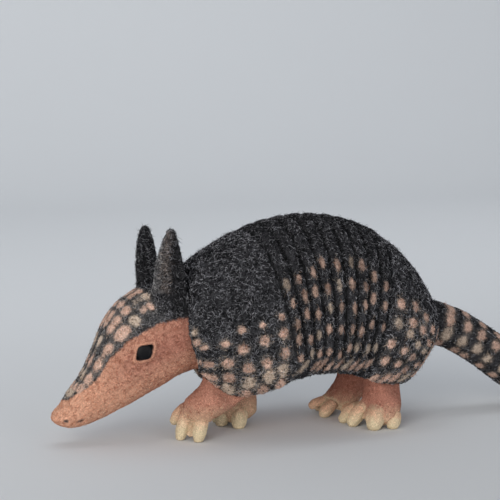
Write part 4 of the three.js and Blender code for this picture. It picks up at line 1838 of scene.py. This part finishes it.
@dataclass
class Toes:
    """The cream felted claws, each a piece of its own."""

    nodes: dict[str, bpy.types.Object]
    names: list[str]
    voxel: float = 0.36 * MM
    swell: float = 0.12 * MM  # which the felt is then brought back by

    def build(self, finish: bpy.types.Material) -> list[bpy.types.Object]:
        """Rounds each claw and blends its root into the foot's pink."""
        return [self._claw(name, finish) for name in self.names]

    def _claw(self, name: str, finish: bpy.types.Material) -> bpy.types.Object:
        """Makes one claw.

        Args:
            name: the solid that it replaces.
            finish: the felt.
        Returns:
            The claw.
        """
        claw = copy_of(self.nodes, [name], f"felt_{name}")
        felt_together(claw, self.voxel, (self.swell,), 14)
        places, outward = vertices_of(claw), vertices_of(claw, "normal")
        rise = (places[:, 2] - places[:, 2].min()) / np.ptp(places[:, 2])
        height = 0.08 * MM * ripple(places, 1.6 * MM, 7) - self.swell - 0.5 * MM * ease(rise, 0.6, 1.0)
        places = places + outward * height[:, None]
        places[:, 2] = np.maximum(places[:, 2], 0.0)
        place_vertices(claw, places)
        paint(claw, self.blend(places).felt())
        hand_over(claw, finish, [name])
        return claw

    @staticmethod
    def blend(places: Array) -> Blend:
        """Lays the wools of a claw, cream at its tip and pink at its root.

        Args:
            places: one a row.
        Returns:
            The blend.
        """
        blend = Blend(len(places), Wool.CREAM)
        rise = ragged_height(places)
        hind = on_hind_feet(places)
        # Painted shade: the far hind foot (y > 0), in the body's shade, is made pinker still.
        rise = rise + 2.0 * MM * hind + 3.0 * MM * hind * (places[:, 1] > 0.0)  # the hind feet are pinker
        blend.lay(Wool.BLUSH, 0.08 + 0.66 * ease(rise, 3.4 * MM, 10.0 * MM))
        blend.lay(Wool.SALMON, 0.35 * ease(rise, 9.0 * MM, 14.0 * MM))
        return blend


# ---------------------------------------------------------------- bake maps
def on_fan(places: Array) -> Array:
    """The shell laid out flat: back along the body, and down both sides from the spine."""
    angle, turn, _ = FAN.chart(places)
    return np.clip(np.stack([(angle + 26) / 62, 0.5 + turn / 320], axis=1), 0.01, 0.99)


def on_line(line: CentreLine, length: float) -> Layout:
    """Lays out a long part, along it and round it from its underside.

    Args:
        line: its middle line.
        length: the line's length.
    Returns:
        The layout.
    """

    def layout(places: Array) -> Array:
        """Places on the bake map."""
        along, turn, _ = line.chart(places)
        return np.clip(np.stack([0.02 + 0.96 * along / length, 0.5 + turn / 380], axis=1), 0.01, 0.99)

    return layout


def on_sheet(centre: tuple[float, float], size: float) -> Layout:
    """Lays out the ears, legs or belly by height and by turn round an upright line.

    Args:
        centre: how far along X the front ones end, and the lowest height.
        size: the height that they cover.
    Returns:
        The layout.
    """

    def layout(places: Array) -> Array:
        """Places on the bake map, a quarter for each limb.

        Args:
            places: the places on the felt.
        Returns:
            The places on the map.
        """
        right, rear = places[:, 1] > 0, places[:, 0] > centre[0]
        around = (np.arctan2(places[:, 1] * 31, places[:, 0] * 17) / math.pi + 1) / 2
        u = 0.5 * rear + 0.02 + 0.46 * around
        v = 0.5 * right + 0.02 + 0.46 * np.clip((places[:, 2] - centre[1]) / size, 0, 1)
        return np.stack([u, v], axis=1)

    return layout


# ---------------------------------------------------------------- dressing
BODY_COATS = {
    "coat_face": Coat(
        2300, length=2.1 * MM, width=0.115 * MM, lift=0.13 * MM, curl=2.4,
        spread=1.4, stray=0.015, reach=0.8 * MM,
    ),
    "coat_forehead": Coat(
        2200, length=1.9 * MM, width=0.13 * MM, lift=0.25 * MM, curl=1.9,
        spread=1.4, stray=0.03, reach=1.2 * MM,
    ),
    "coat_ears": Coat(
        1500, length=2.5 * MM, width=0.13 * MM, lift=0.42 * MM, curl=1.7,
        spread=1.1, stray=0.08, reach=2.1 * MM,
    ),
    "coat_tail": Coat(
        2200, length=2.4 * MM, width=0.14 * MM, lift=0.34 * MM, curl=1.8,
        spread=1.1, stray=0.03, reach=1.7 * MM,
    ),
    "coat_legs": Coat(
        1600, length=1.9 * MM, width=0.11 * MM, lift=0.12 * MM, curl=2.4,
        spread=1.4, stray=0.015, reach=0.8 * MM,
    ),
    "coat_belly": Coat(
        200, length=2.2 * MM, width=0.12 * MM, lift=0.18 * MM, curl=2.0,
        spread=1.3, stray=0.02, reach=1.0 * MM,
    ),
}


@dataclass
class Dresser:
    """Lays the coats over the felted forms."""

    shell: Carapace
    body: Body
    finish: bpy.types.Material
    seeds: tuple[int, int] = (100, 200)  # of the first coat on the shell and on the body
    spot_edge: float = 1.15  # where a spot's own fibres end, in its radii

    def dress_shell(self) -> list[bpy.types.Object]:
        """Lays the shell's charcoal coat, in six pieces from the shoulder to the hip.

        Returns:
            The pieces.
        """
        ground = Ground(self.shell.obj)
        angle, turn, _ = FAN.chart(ground.corners)
        outer = ease(Carapace.facing(self.shell.obj), -0.5, 0.0)
        place = self.shell.pattern.band_place(angle, turn)
        sections = (
            ("coat_shoulder_left", (place < 0) & (turn < 0), 3600),
            ("coat_shoulder_right", (place < 0) & (turn >= 0), 3600),
            ("coat_bands_front", (place >= 0) & (place < 4.5), 3840),
            ("coat_bands_rear", (place >= 4.5) & (place < 9), 3840),
            ("coat_hip_left", (place >= 9) & (turn < 0), 2560),
            ("coat_hip_right", (place >= 9) & (turn >= 0), 2560),
        )
        pieces = []
        for seed, (title, inside, tufts) in enumerate(sections, self.seeds[0]):
            banded = title.startswith("coat_bands")
            coat = Coat(
                tufts, length=2.4 * MM, width=0.13 * MM, lift=0.36 * MM, curl=1.9,
                spread=0.8 if banded else 1.2, stray=0.05, reach=1.7 * MM,
            )
            fleece = Fleece(ground, coat, seed)
            piece = fleece.grow(title, outer * inside, self._shell_look(banded), on_fan)
            hand_over(piece, self.finish)
            pieces.append(piece)
        return pieces

    def _shell_look(self, banded: bool) -> Look:
        """Tells how the shell's fibres are coloured and lie.

        Args:
            banded: whether they are on the bands, where most of them lie down the slope.
        Returns:
            The look.
        """

        def look(
            places: Array, first: Array, second: Array, rng: np.random.Generator
        ) -> tuple[Blend, Array, Array]:
            """The fibres at some places.

            Args:
                places: one a row.
                first: one direction along the felt there.
                second: the other.
                rng: source of the draws.
            Returns:
                The wools, the lengths' shares and the headings.
            """
            gap, _, around = self.shell.measure(places)
            blend = self.shell.blend(places)
            on_spot = gap < self.spot_edge
            blend.lay(Wool.CHARCOAL, 0.18 * ease(gap, 1.3, 0.9))
            blend.lay(Wool.BEIGE, 0.08 * ease(gap, 2.3, 1.5) * (gap > self.spot_edge))
            loose = rng.random(len(places)) < 0.35
            beside = np.where(gap < 1.9, np.where(loose, 1.25, 0.8), 1.0)
            share = np.where(on_spot, np.where(loose, 1.05, 0.55), beside)
            heading = np.full(len(places), np.nan)
            if banded:
                down = np.cross(np.array([1.0, 0.0, 0.0]), np.cross(first, second))
                heading = np.arctan2((down * second).sum(1), (down * first).sum(1))
                heading = np.where(rng.random(len(places)) < 0.6, heading, np.nan)
            heading = np.where(on_spot, np.where(loose, around, around + math.pi / 2), heading)
            return blend, share, heading

        return look

    def dress_body(self) -> list[bpy.types.Object]:
        """Lays the coats of the face, forehead, ears, tail, legs and belly.

        Returns:
            The pieces.
        """
        body, parts = self.body, self.body.parts
        ground = Ground(body.obj)
        mask, overlap = body.mask(ground.corners), 0.6 * MM
        bare = np.ones(len(parts))
        for eye in body.eyes:
            bare = bare * (eye.measure(ground.corners) > 1.0)
        seen = ~body.under_shell()
        head = body.is_part(parts, "head", "neck") & seen
        tail = body.is_part(parts, "tail") & seen
        legs = body.is_part(parts, "leg", "claw") & seen
        trunk = body.is_part(parts, "trunk") & seen
        on_head = on_line(HEAD_LINE, 72 * MM)
        on_ears = on_sheet((-80 * MM, 46 * MM), 35 * MM)
        sections = (
            ("coat_face", head & (mask < overlap), on_head, "pink_felt"),
            ("coat_forehead", head & (mask > -overlap), on_head, "charcoal_felt"),
            ("coat_ears", body.is_part(parts, "ear"), on_ears, "charcoal_felt"),
            ("coat_tail", tail, on_line(TAIL_LINE, 113 * MM), "charcoal_felt"),
            ("coat_legs", legs, on_sheet((-24 * MM, 0.0), 30 * MM), "pink_felt"),
            ("coat_belly", trunk, on_sheet((-24 * MM, 0.0), 60 * MM), "pink_felt"),
        )
        pieces = []
        for seed, (title, inside, unwrap, slot) in enumerate(sections, self.seeds[1]):
            fleece = Fleece(ground, BODY_COATS[title], seed)
            piece = fleece.grow(title, inside * bare, self._body_look(), unwrap)
            hand_over(piece, self.finish)
            pieces.append(piece)
        return pieces

    def _body_look(self) -> Look:
        """Tells how the body's fibres are coloured and lie.

        Returns:
            The look.
        """

        def look(
            places: Array, first: Array, second: Array, rng: np.random.Generator
        ) -> tuple[Blend, Array, Array]:
            """The fibres at some places.

            Args:
                places: one a row.
                first: one direction along the felt there.
                second: the other.
                rng: not used.
            Returns:
                The wools, the lengths' shares and the headings, none of which is set.
            """
            parts = self.body.search.find(places)
            blend = self.body.blend(places, np.cross(first, second), parts)
            gap, _ = self.body.spot_gap(places, parts)
            blend.lay(Wool.CHARCOAL, 0.1 * ease(gap, 1.3, 0.9))
            share = np.where(gap < self.spot_edge, 0.55, np.where(gap < 1.7, 0.7, 1.0))
            return blend, share, np.full(len(places), np.nan)

        return look


def main() -> None:
    """Builds the figure and its studio, in order."""
    logging.basicConfig(level=logging.INFO, format="%(name)s %(message)s")
    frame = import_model()
    nodes = frame["nodes"]
    claws = sorted(name for name in nodes if name.startswith("claw_"))
    Studio().build()
    felt = FeltFinish("needled_wool").build()
    bead = BeadFinish("black_bead").build()
    shell = Carapace(nodes)
    eyes = [Eye(name, side) for name, side in zip(EYES, SIDES)]
    body = Body(nodes, eyes, claws)
    pieces = [shell.build(felt), body.build(felt), *[eye.build(bead) for eye in eyes]]
    pieces += Toes(nodes, claws).build(felt)
    dresser = Dresser(shell, body, FibreFinish("loose_wool").build())
    pieces += dresser.dress_shell() + dresser.dress_body()
    for piece in pieces:
        LOG.info("%s: %d faces", piece.name, len(piece.data.polygons))


if __name__ == "__main__":
    main()
